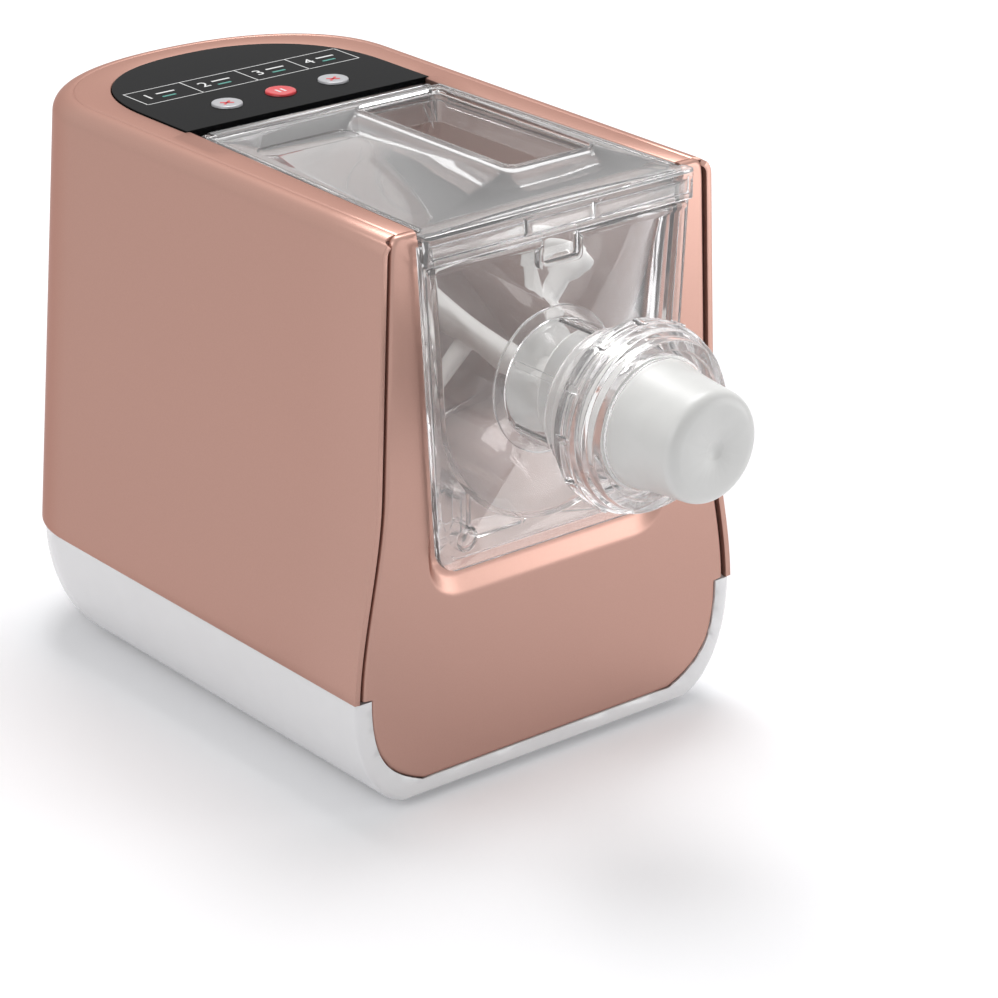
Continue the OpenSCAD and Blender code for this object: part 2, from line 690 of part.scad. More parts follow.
module gearbox_cover() at_front() color("slategray")
    difference() {
        union() {
            slab_xz(case_y1 + 0.05, cover_y1) case_outline(case_t);
            ears(case_y1 + 0.05, cover_y1);
            slab_xz(case_y1 + 0.05, cover_y1) translate([0, motor_z]) circle(r = motor_r - 3);
        }
        for (p = gearbox_screw_places) both_sides()
            rod_y(screw_r + 0.1, case_y1 - eps, cover_y1 + eps, p[0], p[1]);
        rod_y(bush_r + run_gap, case_y1 - eps, cover_y1 + eps, 0, axis_z);
        rod_y(pin_r + run_gap, case_y1 - eps, cover_y1 - 0.6, 0, idler_z);
        rod_y(bush_r, case_y1 - eps, cover_y1 + eps, 0, motor_z);
        both_sides()
            rod_y(screw_r + 0.1, case_y1 - eps, cover_y1 + eps, motor_screw_x, motor_z - motor_screw_z);
    }

module gearbox_screws() at_front() color("silver")
    for (p = gearbox_screw_places) both_sides() {
        rod_y(screw_head_r, cover_y1, cover_y1 + screw_head_h, p[0], p[1]);
        rod_y(screw_r, bay_len + 0.8, cover_y1 + 0.5, p[0], p[1]);
    }

module output_bushes() at_front() color("goldenrod") {
    tube_y(bush_r, out_shaft_r + run_gap, bay_len + 0.1, case_y0 + case_t, 0, axis_z);
    tube_y(bush_r, out_shaft_r + run_gap, case_y1 + 0.1, cover_y1, 0, axis_z);
}

module idler_pin() at_front() color("silver") rod_y(pin_r, case_y0 + 0.7, cover_y1 - 0.7, 0, idler_z);

// Tooth flanks follow the involute of the base circle; teeth are thinned for backlash
pressure = 24;
backlash = 0.06;
function involute_angle(r, base) = let (a = acos(min(1, base / r))) tan(a) * 180 / PI - a;
function gear_points(m, n) = let (
        pitch = m * n / 2, base = pitch * cos(pressure), tip = pitch + 0.86 * m, root = pitch - 1.15 * m,
        half = 90 / n * (1 - backlash) + involute_angle(pitch, base), low = max(base, root + 0.3 * m),
        flank = [for (r = [low, lerp(low, tip, 0.5), tip]) [r, half - involute_angle(r, base)]],
        side = concat([[root, flank[0][1]]], flank))
    [for (t = [0:n - 1]) each let (c = 360 * t / n) concat(
        [for (p = side) [p[0], c - p[1]]], [for (k = [len(side) - 1:-1:0]) [side[k][0], c + side[k][1]]])];
module gear_blank(m, n, turn)
    rotate(turn) polygon([for (p = gear_points(m, n)) p[0] * [cos(p[1]), sin(p[1])]]);

// The slab is seen from -Y, so a tooth centred on +Z is at 90 degrees
module spur_gear(m, n, y0, w, z, bore, turn)
    slab_xz(y0, y0 + w) translate([0, z]) difference() {
        gear_blank(m, n, turn);
        circle(r = bore);
    }

// The output gear meets its pinion with a tooth down; the pinion has a gap up
half_tooth = 90 + 180 / pinion_teeth;
module drive_coupler() at_front() color("silver")
    difference() {
        union() {
            rod_y(14, coupler_y0, bay_len - 0.5, 0, axis_z);
            rod_y(out_shaft_r, bay_len - 1, cover_y1 + 3, 0, axis_z);
        }
        translate([0, coupler_y0 - eps, axis_z]) rotate([-90, 0, 0])
            cylinder(r = hex_r + 0.3, h = hex_len + 1 + eps, $fn = 6);
    }
hex_r = shaft_r + 1;
hex_len = 6;
coupler_y0 = bay_len - 8.5;

module output_gear() at_front() color("ivory") {
    spur_gear(out_module, out_teeth, gear_y0, gear_w, axis_z, out_shaft_r + run_gap, -90);
}

module idler_gear() at_front() color("ivory") {
    spur_gear(out_module, pinion_teeth, gear_y0, gear_w + 2, idler_z, pin_r + run_gap, half_tooth);
    spur_gear(in_module, idler_teeth, idler_y0, gear_w, idler_z, pin_r + run_gap, -90);
}

module motor_pinion() at_front() color("silver")
    spur_gear(in_module, pinion_teeth, idler_y0 - 0.5, gear_w + 1, motor_z, pin_bore, half_tooth);
pin_bore = 3 + run_gap;

// ---- motor ----

motor_y0 = cover_y1 + 0.1;
motor_y1 = motor_y0 + motor_len;
cap_len = 14;
case_wall = 1.5;
core_y0 = motor_y0 + 14;
core_len = 28;
rotor_r = 20;
journal_r = 4;

module motor_case() at_front() color("silver")
    difference() {
        rod_y(motor_r, motor_y0, motor_y1 - cap_len, 0, motor_z);
        rod_y(motor_r - case_wall, motor_y0 + 3, motor_y1, 0, motor_z);
        rod_y(journal_r + 3 + run_gap, motor_y0 - eps, motor_y0 + 4, 0, motor_z);
        both_sides()
            rod_y(screw_r + run_gap, motor_y0 - eps, motor_y0 + 4, motor_screw_x, motor_z - motor_screw_z);
    }

module motor_end_cap() at_front() color("dimgray")
    difference() {
        rod_y(motor_r, motor_y1 - cap_len + 0.05, motor_y1, 0, motor_z);
        rod_y(motor_r - 3, motor_y1 - cap_len - eps, motor_y1 - 3, 0, motor_z);
        rod_y(journal_r + 3 + run_gap, motor_y1 - 4, motor_y1 + eps, 0, motor_z);
        for (a = [0:45:315]) rotate_about_motor(a) rod_y(3, motor_y1 - 5, motor_y1 + eps, 22, motor_z);
    }
module rotate_about_motor(a)
    translate([0, 0, motor_z]) rotate([0, a, 0]) translate([0, 0, -motor_z]) children();

module field_core() at_front() color("gray")
    tube_y(motor_r - case_wall - 0.05, rotor_r + 0.6, core_y0, core_y0 + core_len, 0, motor_z);

module field_coils() at_front() color("peru") {
    tube_y(motor_r - 5, rotor_r + 2, core_y0 - 7, core_y0, 0, motor_z);
    tube_y(motor_r - 5, rotor_r + 2, core_y0 + core_len, core_y0 + core_len + 7, 0, motor_z);
}

module motor_bushes() at_front() color("goldenrod") {
    tube_y(journal_r + 3, journal_r + run_gap, motor_y0, motor_y0 + 8, 0, motor_z);
    tube_y(journal_r + 3, journal_r + run_gap, motor_y1 - 5, motor_y1, 0, motor_z);
}

module motor_screws() at_front() color("silver") both_sides() {
    rod_y(screw_head_r, case_y1 - 1.7, case_y1 + 0.05, motor_screw_x, motor_z - motor_screw_z);
    rod_y(screw_r, case_y1 - 1, motor_y0 + 3, motor_screw_x, motor_z - motor_screw_z);
}

module motor_rotor() at_front() color("gray") {
    rod_y(rotor_r, core_y0 + 0.5, core_y0 + core_len - 0.5, 0, motor_z);
    rod_y(journal_r, motor_y0 - 3, motor_y1 - 0.5, 0, motor_z);
    rod_y(3, idler_y0 - 1, motor_y0 - 2, 0, motor_z);
}

module cooling_fan() at_front() color("black") {
    fan_y = motor_y1 - cap_len + 1;
    tube_y(9, journal_r + run_gap, fan_y, fan_y + 7, 0, motor_z);
    for (a = [0:40:320]) rotate_about_motor(a)
        translate([7.5, fan_y, motor_z - 0.6]) cube([20, 7, 1.2]);
}

saddle_x = 24;
saddle_w = 6;
saddle_y0 = motor_y0 + 12;
saddle_len = 34;
saddle_t = 3;
rib_top = motor_z - sqrt(pow(motor_r, 2) - pow(saddle_x - saddle_w / 2, 2)) - saddle_t;

// Rubber pads between the ribs of the base and the motor
module motor_saddle() at_front() color("dimgray") both_sides()
    slab_xz(saddle_y0 + 2, saddle_y0 + saddle_len - 2) difference() {
        translate([saddle_x - saddle_w / 2, rib_top]) square([saddle_w, saddle_t + 8]);
        translate([0, motor_z]) circle(r = motor_r + 0.05, $fn = 128);
    }

// ---- mixing bowl ----

bowl_rear = bay_len - 12;
pour_y1 = bowl_rear - pour_gap;
rim_z = deck_z - 0.5;
plate_y0 = -plate_out;
plate_y1 = plate_y0 + plate_t;
bowl_top_hw = bay_hw - bowl_gap;
bowl_rear_hw = bay_rear_hw - bowl_gap + 0.4;
barrel_flange_r = barrel_r + 6;
seal_r = shaft_r + 4;

// Trough section: a half circle below the axis, then straight sides to the rim
function trough_side(top_hw, inset, top) = concat(
    [for (i = [0:12]) let (a = -90 + 7.5 * i)
        [(trough_r - inset) * cos(a), axis_z + (trough_r - inset) * sin(a)]],
    [[top_hw - inset, top]]);
function plate_side(grow) = concat(
    [for (i = [0:6]) let (a = -90 + 15 * i)
        [plate_low_hw + grow - plate_r * (1 - cos(a)), plate_low_z - grow + plate_r * (1 + sin(a))]],
    [[plate_hw + grow, rim_z]]);
hinge_y = bay_len - hinge_r - 0.3;
hinge_z = body_h - 0.5 - hinge_r;
lug_t = 4;
lug_x = bowl_rear_hw - lug_t;

module mixing_bowl() at_front() color("lightgray", 0.4)
    difference() {
        union() {
            loft([section_ring(trough_side(bowl_rear_hw, 0, rim_z), bowl_rear),
                section_ring(trough_side(bowl_top_hw, 0, rim_z), plate_y1 - 0.5)]);
            slab_xz(plate_y0, plate_y1) mirrored_outline(plate_side(0));
            // Bead below the lid and the latch tab in the middle of it
            translate([-plate_hw + 2, plate_y0 - 1.6, lid_flange_z - 5]) cube([2 * plate_hw - 4, 2, 3.5]);
            slab_xz(plate_y0 - 1.6, plate_y0 + 0.4) translate([-13.5, lid_flange_z - 16]) difference() {
                square([27, 12]);
                translate([2.5, 2.5]) square([22, 20]);
            }
            // Runners that stand on the bay floor
            both_sides() translate([46, 8, bay_floor_z + seat]) cube([3, bowl_rear - 16, 30]);
            both_sides() rod_y(5, plate_y1 - 0.5, 12, 52, bay_floor_z + 10);
            // Hinge lugs
            both_sides() hull() {
                translate([lug_x, hinge_y, hinge_z]) rotate([0, 90, 0])
                    cylinder(r = hinge_r - 0.6, h = lug_t, $fn = hull_fn);
                translate([lug_x, bowl_rear - 3, hinge_z - 18]) cube([lug_t, 3, 17]);
            }
        }
        loft([section_ring(trough_side(bowl_rear_hw, bowl_t, rim_z + eps), bowl_rear - wall),
            section_ring(trough_side(bowl_top_hw, bowl_t, rim_z + eps), plate_y1)]);
        rod_y(barrel_r + run_gap, plate_y0 - eps, plate_y1 + eps, 0, axis_z);
        rod_y(seal_r + run_gap, bowl_rear - wall - eps, bowl_rear + eps, 0, axis_z);
        translate([-2 * plate_hw, hinge_y, hinge_z]) rotate([0, 90, 0])
            cylinder(r = rod_r + run_gap, h = 4 * plate_hw);
    }

module hinge_rod() at_front() color("silver")
    translate([-bowl_rear_hw, hinge_y, hinge_z]) rotate([0, 90, 0]) cylinder(r = rod_r, h = 2 * bowl_rear_hw);

module shaft_seal() at_front() color("dimgray") turned([
    [shaft_r + run_gap, bowl_rear - wall - 2], [seal_r + 2, bowl_rear - wall - 2],
    [seal_r + 2, bowl_rear - wall - 0.1], [seal_r, bowl_rear - wall - 0.1],
    [seal_r, bowl_rear + 0.1], [seal_r + 1, bowl_rear + 0.1], [seal_r + 1, bowl_rear + 1.5],
    [shaft_r + run_gap, bowl_rear + 1.5]]);

// ---- lid ----

lid_top = body_h - 0.5;
lid_low = lid_top - lid_t;
lid_front = plate_y0 - 2.4;
lid_flange_z = lid_top - flange_h;
skirt_back = hinge_y - 14;

function lid_hw(y) = lerp(bay_hw, bay_rear_hw, max(0, y) / bay_len) + 0.5 - lid_gap;
module lid_plan(inset, y0, y1) polygon([[lid_hw(y0) - inset, y0], [lid_hw(y1) - inset, y1],
    [-lid_hw(y1) + inset, y1], [-lid_hw(y0) + inset, y0]]);
module pour_plan(grow) translate([pour_x0 - grow, pour_y0 - grow]) {
    w = pour_x1 - pour_x0 + 2 * grow;
    l = pour_y1 - pour_y0 + 2 * grow;
    r = 5 + grow;
    translate([r, 0]) square([w - 2 * r, l]);
    translate([0, r]) square([w, l - 2 * r]);
    for (x = [r, w - r], y = [r, l - r]) translate([x, y]) circle(r = r);
}

module lid() at_front() color("lightgray", 0.4)
    difference() {
        union() {
            translate([0, 0, lid_low]) linear_extrude(lid_t) {
                lid_plan(0, 0.5, hinge_y);
                translate([-plate_hw, lid_front]) square([2 * plate_hw, -seat - lid_front]);
                translate([-lid_hw(0), -1]) square([2 * lid_hw(0), 2]);
            }
            // Flange over the front plate, with the two grip ribs
            translate([-plate_hw, lid_front, lid_flange_z]) cube([2 * plate_hw, 2, flange_h]);
            both_sides() translate([19, lid_front - 1.2, lid_flange_z]) cube([3, 2, flange_h - 1]);
            // Skirts beside the bowl
            translate([0, 0, lid_low - 7]) linear_extrude(8) difference() {
                lid_plan(0, 6, skirt_back);
                lid_plan(1.3, 5, skirt_back + eps);
            }
            // Skirt and raised lip round the pour opening
            translate([0, 0, lid_low - pour_skirt]) linear_extrude(pour_skirt + lid_t) pour_plan(1.8);
            // Hinge barrel
            translate([-lug_x + seat, hinge_y, hinge_z]) rotate([0, 90, 0])
                cylinder(r = hinge_r, h = 2 * (lug_x - seat));
        }
        translate([0, 0, lid_low - pour_skirt - eps]) linear_extrude(pour_skirt + lid_t + 4) pour_plan(0);
        translate([-plate_hw, hinge_y, hinge_z]) rotate([0, 90, 0])
            cylinder(r = rod_r + run_gap, h = 2 * plate_hw);
        // Notches round the bowl's hinge lugs
        both_sides() translate([lug_x - seat, hinge_y - hinge_r - 0.6, lid_low - 1])
            cube([plate_hw, 2 * hinge_r, lid_t + 2]);
    }

// ---- extruder ----

barrel_end = -barrel_len;
bore_r = barrel_r - barrel_t;
nut_y1 = barrel_end + 24;
nut_y0 = nut_y1 - nut_len;
nut_bore = barrel_r + 2.2;
lip_r = barrel_r + 0.2;
cap_flange_y = barrel_end - 6.2;
cap_body_r = lip_r - 0.3;
cap_y0 = -nose_len;

module extruder_barrel() at_front() color("lightgray", 0.4) {
    turned([[bore_r, barrel_end], [barrel_r, barrel_end], [barrel_r, barrel_end + 3],
        [barrel_r + 1.8, barrel_end + 4], [barrel_r + 1.8, barrel_end + 6], [barrel_r, barrel_end + 7],
        [barrel_r, barrel_end + 11], [barrel_r + 1.8, barrel_end + 12], [barrel_r + 1.8, barrel_end + 14],
        [barrel_r, barrel_end + 15], [barrel_r, plate_y1 + 0.1], [barrel_flange_r, plate_y1 + 0.1],
        [barrel_flange_r, plate_y1 + 3], [bore_r, plate_y1 + 3]]);
    // Long ribs between the bowl and the nut
    for (a = [0:60:300]) translate([0, 0, axis_z]) rotate([0, a, 0])
        translate([-1, nut_y1 + 1, barrel_r - 1]) cube([2, plate_y0 - nut_y1 - 1.5, 3]);
}

module ring_nut() at_front() color("lightgray", 0.4) {
    turned([[nut_bore, nut_y1], [nut_bore + 3, nut_y1], [nut_bore + 4, nut_y1 - 3],
        [nut_bore + 4, nut_y1 - 8], [nut_r - 5, nut_y1 - 10], [nut_r - 5, nut_y1 - 15],
        [nut_r - 1, nut_y1 - 17], [nut_r, nut_y1 - 19], [nut_r, nut_y1 - 30], [nut_r - 2, nut_y1 - 31],
        [nut_r - 2, nut_y1 - 36], [nut_r - 5, nut_y0],
        [lip_r, nut_y0], [lip_r, cap_flange_y - 4.3], [nut_bore, cap_flange_y - 4.3]], 120);
    // Grip ribs round the widest part
    for (a = [0:30:330]) translate([0, 0, axis_z]) rotate([0, a, 0])
        translate([-1.5, nut_y1 - 29, nut_r - 1]) cube([3, 9, 2]);
}

module die_gasket() at_front() color("white") turned([
    [bore_r + 0.5, barrel_end - 2.1], [barrel_r, barrel_end - 2.1],
    [barrel_r, barrel_end - 0.1], [bore_r + 0.5, barrel_end - 0.1]]);

// Strand die in the underside of the cap
die_hw = (strand_n * strand_pitch) / 2 + 0.3;
die_y = cap_y0 + 8 + die_hw;
die_low = cap_r - 1.3;
die_t = 3.6;

module die_cap() at_front() color("white")
    difference() {
        turned([[0, cap_y0], [cap_r - 6, cap_y0], [cap_r - 3.4, cap_y0 + 0.8], [cap_r - 1.3, cap_y0 + 2.4],
            [cap_r, cap_y0 + 5], [cap_body_r, nut_y0 + 2], [cap_body_r, cap_flange_y - 4],
            [nut_bore - 0.4, cap_flange_y - 4], [nut_bore - 0.4, barrel_end - 2.2],
            [bore_r, barrel_end - 2.2], [bore_r, cap_flange_y - 4],
            [cap_r - 3.4, cap_y0 + 8], [cap_r - 6, cap_y0 + 4], [0, cap_y0 + 4]]);
        translate([-die_hw - 0.1, die_y - die_hw - 0.1, axis_z - 2 * cap_r])
            cube([2 * die_hw + 0.2, 2 * die_hw + 0.2, 2 * cap_r - 6]);
        // Dimple in the face
        translate([0, cap_y0 - 8.5, axis_z]) sphere(r = 10);
    }

module strand_die() at_front() color("white")
    difference() {
        translate([-die_hw, die_y - die_hw, axis_z - die_low]) cube([2 * die_hw, 2 * die_hw, die_t]);
        for (i = [0:strand_n - 1], j = [0:strand_n - 1]) let (middle = (strand_n - 1) / 2)
            translate([(i - middle) * strand_pitch, die_y + (j - middle) * strand_pitch,
                axis_z - die_low - eps]) cylinder(d = strand_d, h = die_t + 2 * eps);
    }

// ---- mixing shaft ----

hex_end = coupler_y0 + hex_len;
screw_y1 = 12;
screw_y0 = barrel_end + 2;
hub_r = 9;
flight_r = bore_r - 0.5;
paddle_y0 = 18;
paddle_y1 = bowl_rear - wall - 8;

module mixing_shaft() at_front() color("silver") {
    rod_y(shaft_r, screw_y0 + 4, bowl_rear + 2, 0, axis_z);
    translate([0, bowl_rear + 1.8, axis_z]) rotate([-90, 0, 0])
        cylinder(r = hex_r, h = hex_end - bowl_rear - 1.8, $fn = 6);
}

// The screw's section across the shaft, a hub with one lobe, turned as it goes forward
flight_tip = 15;
flight_root = 25;
hub_sides = 8;
flight_steps = 18;
screw_section = concat([[flight_r, flight_tip]],
    [for (i = [0:hub_sides]) [hub_r, lerp(flight_root, 360 - flight_root, i / hub_sides)]],
    [[flight_r, 360 - flight_tip]]);

module extruder_screw() at_front() color("white")
    difference() {
        steps = ceil((screw_y1 - screw_y0) / screw_pitch * flight_steps);
        loft([for (i = [0:steps])
            let (y = lerp(screw_y1, screw_y0, i / steps), turn = 360 * (screw_y1 - y) / screw_pitch)
            [for (p = screw_section) [p[0] * cos(turn + p[1]), y, axis_z + p[0] * sin(turn + p[1])]]]);
        rod_y(shaft_r + run_gap, screw_y0 + 3.9, screw_y1 + eps, 0, axis_z);
    }

arm_ys = [for (i = [0:3]) lerp(paddle_y0 + 14, paddle_y1 - 24, i / 3)];
module mixing_paddle() at_front() color("white")
    difference() {
        union() {
            rod_y(hub_r + 1, paddle_y0, paddle_y1, 0, axis_z);
            for (i = [0:len(arm_ys) - 1]) translate([0, arm_ys[i], axis_z]) rotate([0, 45 + 90 * i, 0]) {
                translate([-3, -6, 0]) cube([6, 12, paddle_r - 4]);
                translate([-5, -14, paddle_r - 8]) cube([10, 28, 5.5]);
            }
        }
        rod_y(shaft_r + run_gap, paddle_y0 - eps, paddle_y1 + eps, 0, axis_z);
    }

base_tray();
rubber_feet();
base_screws();
body_shell();
front_panel();
panel_screws();
bay_liner();
liner_screws();
control_panel();
button_frame();
frame_screws();
control_board();
power_board();
board_screws();
mains_inlet();
inlet_pins();
lid_sensor();
gearbox_case();
gearbox_cover();
gearbox_screws();
output_bushes();
idler_pin();
motor_case();
motor_end_cap();
field_core();
field_coils();
motor_bushes();
motor_screws();
motor_saddle();
start_button();
stop_button();
mode_button();
start_spring();
stop_spring();
mode_spring();
drive_coupler();
output_gear();
idler_gear();
motor_pinion();
motor_rotor();
cooling_fan();
mixing_bowl();
extruder_barrel();
shaft_seal();
hinge_rod();
lid();
mixing_shaft();
mixing_paddle();
extruder_screw();
ring_nut();
die_cap();
strand_die();
die_gasket();
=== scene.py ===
# Electric pasta maker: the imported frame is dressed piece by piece, in the order in which
# the real machine is put together. Sizes are in millimetres and at() turns them to metres.
import math

import bmesh
import bpy
from mathutils import Matrix, Vector


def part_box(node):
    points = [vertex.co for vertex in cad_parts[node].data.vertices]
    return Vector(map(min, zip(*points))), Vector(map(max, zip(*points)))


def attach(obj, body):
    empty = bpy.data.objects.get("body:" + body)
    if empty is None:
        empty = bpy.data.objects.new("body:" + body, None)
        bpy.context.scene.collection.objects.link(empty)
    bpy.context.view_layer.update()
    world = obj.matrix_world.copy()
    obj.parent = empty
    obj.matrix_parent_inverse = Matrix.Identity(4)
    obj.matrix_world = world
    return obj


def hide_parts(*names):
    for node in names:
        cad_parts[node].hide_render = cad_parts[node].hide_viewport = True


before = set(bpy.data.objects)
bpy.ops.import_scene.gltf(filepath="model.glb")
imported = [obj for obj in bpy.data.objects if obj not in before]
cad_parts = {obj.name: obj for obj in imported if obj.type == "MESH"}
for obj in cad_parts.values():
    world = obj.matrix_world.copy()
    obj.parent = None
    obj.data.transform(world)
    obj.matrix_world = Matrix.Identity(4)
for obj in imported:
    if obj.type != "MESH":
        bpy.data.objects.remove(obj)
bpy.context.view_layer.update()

# ---- Camera ----
# The machine is seen from its front left corner, a little from above, through a long lens
# that keeps its edges nearly parallel.
MM = 0.001


def at(x, y, z):
    return Vector((x, y, z)) * MM


camera_data = bpy.data.cameras.new("camera")
camera_data.sensor_width = 36
camera_data.lens = 131.6
camera = bpy.data.objects.new("camera", camera_data)
bpy.context.scene.collection.objects.link(camera)
bpy.context.scene.camera = camera
camera.location = at(-1033.7, -1338.3, 825.2)
look = at(65.7, 13.0, 80.3) - camera.location
camera.rotation_euler = look.to_track_quat("-Z", "Y").to_euler()

# ---- Studio ----
# A plain white table top in a white room. A large soft box hangs over the machine, behind it on
# its right, and two small ones light its left side and its front. The camera, gloss and clear
# plastic see the room as plain white.
bpy.context.scene.view_settings.view_transform = "Standard"


def linear(colour):
    parts = [int(colour[i:i + 2], 16) / 255 for i in (1, 3, 5)]
    return [p / 12.92 if p <= 0.04045 else ((p + 0.055) / 1.055) ** 2.4 for p in parts] + [1.0]


def add(tree, kind, inputs=None, **settings):
    """Adds a node; each input is a value or the socket that feeds it."""
    made = tree.nodes.new(kind)
    for name, value in settings.items():
        setattr(made, name, value)
    for name, value in (inputs or {}).items():
        if isinstance(value, bpy.types.NodeSocket):
            tree.links.new(value, made.inputs[name])
        else:
            made.inputs[name].default_value = value
    return made


def seen_rays(tree):
    """1 for rays from the camera, from gloss and through clear plastic."""
    path = add(tree, "ShaderNodeLightPath").outputs
    both = add(tree, "ShaderNodeMath", {0: path["Is Camera Ray"], 1: path["Is Glossy Ray"]}, operation="ADD")
    seen = add(tree, "ShaderNodeMath", {0: both.outputs[0], 1: path["Is Transmission Ray"]},
               operation="ADD", use_clamp=True)
    return seen.outputs[0]


ROOM_LIGHT = 0.36
# The table's lift: metres from the machine, and strength there
LIFT_NEAR = (0.45, 0.12)
LIFT_FAR = (2.0, 0.65)
TABLE_HALF = 6
world = bpy.data.worlds.new("white_room")
bpy.context.scene.world = world
world.use_nodes = True
tree = world.node_tree
tree.nodes.clear()
strength = add(tree, "ShaderNodeMapRange", {"Value": seen_rays(tree), "To Min": ROOM_LIGHT, "To Max": 1.0})
room = add(tree, "ShaderNodeBackground", {"Color": (1, 1, 1, 1), "Strength": strength.outputs[0]})
add(tree, "ShaderNodeOutputWorld", {"Surface": room.outputs[0]})


def table_finish():
    """White laminate: plain and matt, and a little lifted so that it stays white far from the lamps."""
    material = bpy.data.materials.new("white_laminate_matt")
    material.use_nodes = True
    tree = material.node_tree
    tree.nodes.clear()
    paint = add(tree, "ShaderNodeBsdfDiffuse", {"Color": linear("#F2F2F4")})
    place = add(tree, "ShaderNodeTexCoord").outputs["Object"]
    away = add(tree, "ShaderNodeVectorMath", {0: place}, operation="LENGTH").outputs["Value"]
    lift = add(tree, "ShaderNodeMapRange", {"Value": away, "From Min": LIFT_NEAR[0], "From Max": LIFT_FAR[0],
                                            "To Min": LIFT_NEAR[1], "To Max": LIFT_FAR[1]})
    glow = add(tree, "ShaderNodeEmission", {"Color": (1, 1, 1, 1), "Strength": lift.outputs[0]})
    both = add(tree, "ShaderNodeAddShader", {0: paint.outputs[0], 1: glow.outputs[0]})
    mix = add(tree, "ShaderNodeMixShader", {"Fac": seen_rays(tree), 1: paint.outputs[0], 2: both.outputs[0]})
    add(tree, "ShaderNodeOutputMaterial", {"Surface": mix.outputs[0]})
    return material


bm = bmesh.new()
bmesh.ops.create_grid(bm, x_segments=2, y_segments=2, size=TABLE_HALF)
table_mesh = bpy.data.meshes.new("table_top")
bm.to_mesh(table_mesh)
bm.free()
table_mesh.materials.append(table_finish())
table_top = bpy.data.objects.new("table_top", table_mesh)
bpy.context.scene.collection.objects.link(table_top)


def soft_box(name, place, aim, size, watts):
    """A rectangular lamp: its place and aim are in millimetres, its size in metres."""
    light = bpy.data.lights.new(name, "AREA")
    light.shape = "RECTANGLE"
    light.size = size[0]
    light.size_y = size[1]
    light.energy = watts
    lamp = bpy.data.objects.new(name, light)
    bpy.context.scene.collection.objects.link(lamp)
    lamp.location = at(*place)
    lamp.rotation_euler = (at(*aim) - lamp.location).to_track_quat("-Z", "Y").to_euler()


soft_box("key_box", (420, 450, 1900), (0, 0, 150), (1.0, 1.0), 27)
soft_box("left_fill", (-850, -250, 700), (-100, 0, 150), (0.8, 0.6), 2.8)
soft_box("right_fill", (520, -600, 200), (80, -100, 150), (0.35, 0.3), 1.2)

# ---- Body shell ----
# One injection moulding in ABS, sprayed in a satin rose metallic: two sides that bow out
# above the base, a rounded back and the rim of the deck, open at the front and in the middle.
shell_low, shell_high = (Vector(corner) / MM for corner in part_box("body_shell"))
FRONT, BACK = shell_low.y, shell_high.y
SHELL_FOOT, DECK = shell_low.z, shell_high.z
TOP_HALF = 99
LEAN = 9.5
FLARE = shell_high.x - TOP_HALF - LEAN
FLARE_HEIGHT = 101
BACK_LEAN = 4
SHOULDER = BACK - 79
WALL = 3
RIM = 9
RIM_ROUND = 2.2
DECK_FRONT = FRONT + 3.4
BAY_HALF, BAY_LOW_HALF, BAY_REAR_HALF = 78.5, 68.5, 72.9
BAY_LENGTH = 187
BAY_END = FRONT + BAY_LENGTH + 1.3
PANEL_HALF = 75
PANEL_GAP = 0.4
PANEL_SHOULDER = FRONT + 225.3
PANEL_BACK = FRONT + 301.3
PANEL_ROUND = 2.3
ARC_STEPS = 64


def fall(z):
    return (DECK - z) / (DECK - SHELL_FOOT)


def ease(t):
    t = min(1, max(0, t))
    return t * t * (3 - 2 * t)


def blend(a, b, t):
    return a + (b - a) * t


def front_half(z):
    return TOP_HALF + LEAN * fall(z) + FLARE * ease((SHELL_FOOT + FLARE_HEIGHT - z) / FLARE_HEIGHT)


def rear_half(z):
    return TOP_HALF + (LEAN + FLARE) * fall(z)


def bow(half, shoulder, back, power):
    """The rounded back in plan, from the right shoulder to the left one."""
    points = []
    for i in range(ARC_STEPS + 1):
        turn = math.pi * i / ARC_STEPS
        x = math.copysign(abs(math.cos(turn)) ** (2 / power), math.cos(turn))
        y = abs(math.sin(turn)) ** (2 / power)
        points.append((half * x, shoulder + (back - shoulder) * y))
    return points


def horseshoe(side, bow_points):
    """An open line in plan: up the right side, round the back and down the left side."""
    return side + bow_points + [(-x, y) for x, y in reversed(side)]


def new_row(bm, places, closed=False):
    row = [bm.verts.new(place) for place in places]
    for a, b in zip(row, row[1:] + row[:1] if closed else row[1:]):
        bm.edges.new((a, b))
    return row


def next_row(bm, row, places, closed=False):
    """Extrudes a row of edges and sets the new points, one for each old one."""
    pairs = zip(row, row[1:] + row[:1] if closed else row[1:])
    made = bmesh.ops.extrude_edge_only(bm, edges=[bm.edges.get(pair) for pair in pairs])["geom"]
    fresh = {v for v in made if isinstance(v, bmesh.types.BMVert)}
    new = [next(e.other_vert(v) for e in v.link_edges if e.other_vert(v) in fresh) for v in row]
    for vertex, place in zip(new, places):
        vertex.co = place
    return new


def make_piece(name, bm, finish, body, replaced=(), smooth=True):
    """A finished piece: faces outwards, its finish, the body it rides on and what it stands for."""
    bmesh.ops.remove_doubles(bm, verts=bm.verts, dist=1e-6)
    bmesh.ops.recalc_face_normals(bm, faces=bm.faces)
    for face in bm.faces:
        face.smooth = smooth
    mesh = bpy.data.meshes.new(name)
    bm.to_mesh(mesh)
    bm.free()
    mesh.materials.append(finish)
    piece = bpy.data.objects.new(name, mesh)
    bpy.context.scene.collection.objects.link(piece)
    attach(piece, body)
    if replaced:
        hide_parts(*replaced)
    return piece


def soften(piece, width, segments=2, angle=40):
    """Rounds the edges that are sharper than the angle."""
    bevel = piece.modifiers.new("soft_edges", "BEVEL")
    bevel.width = width * MM
    bevel.segments = segments
    bevel.angle_limit = math.radians(angle)
    return bevel


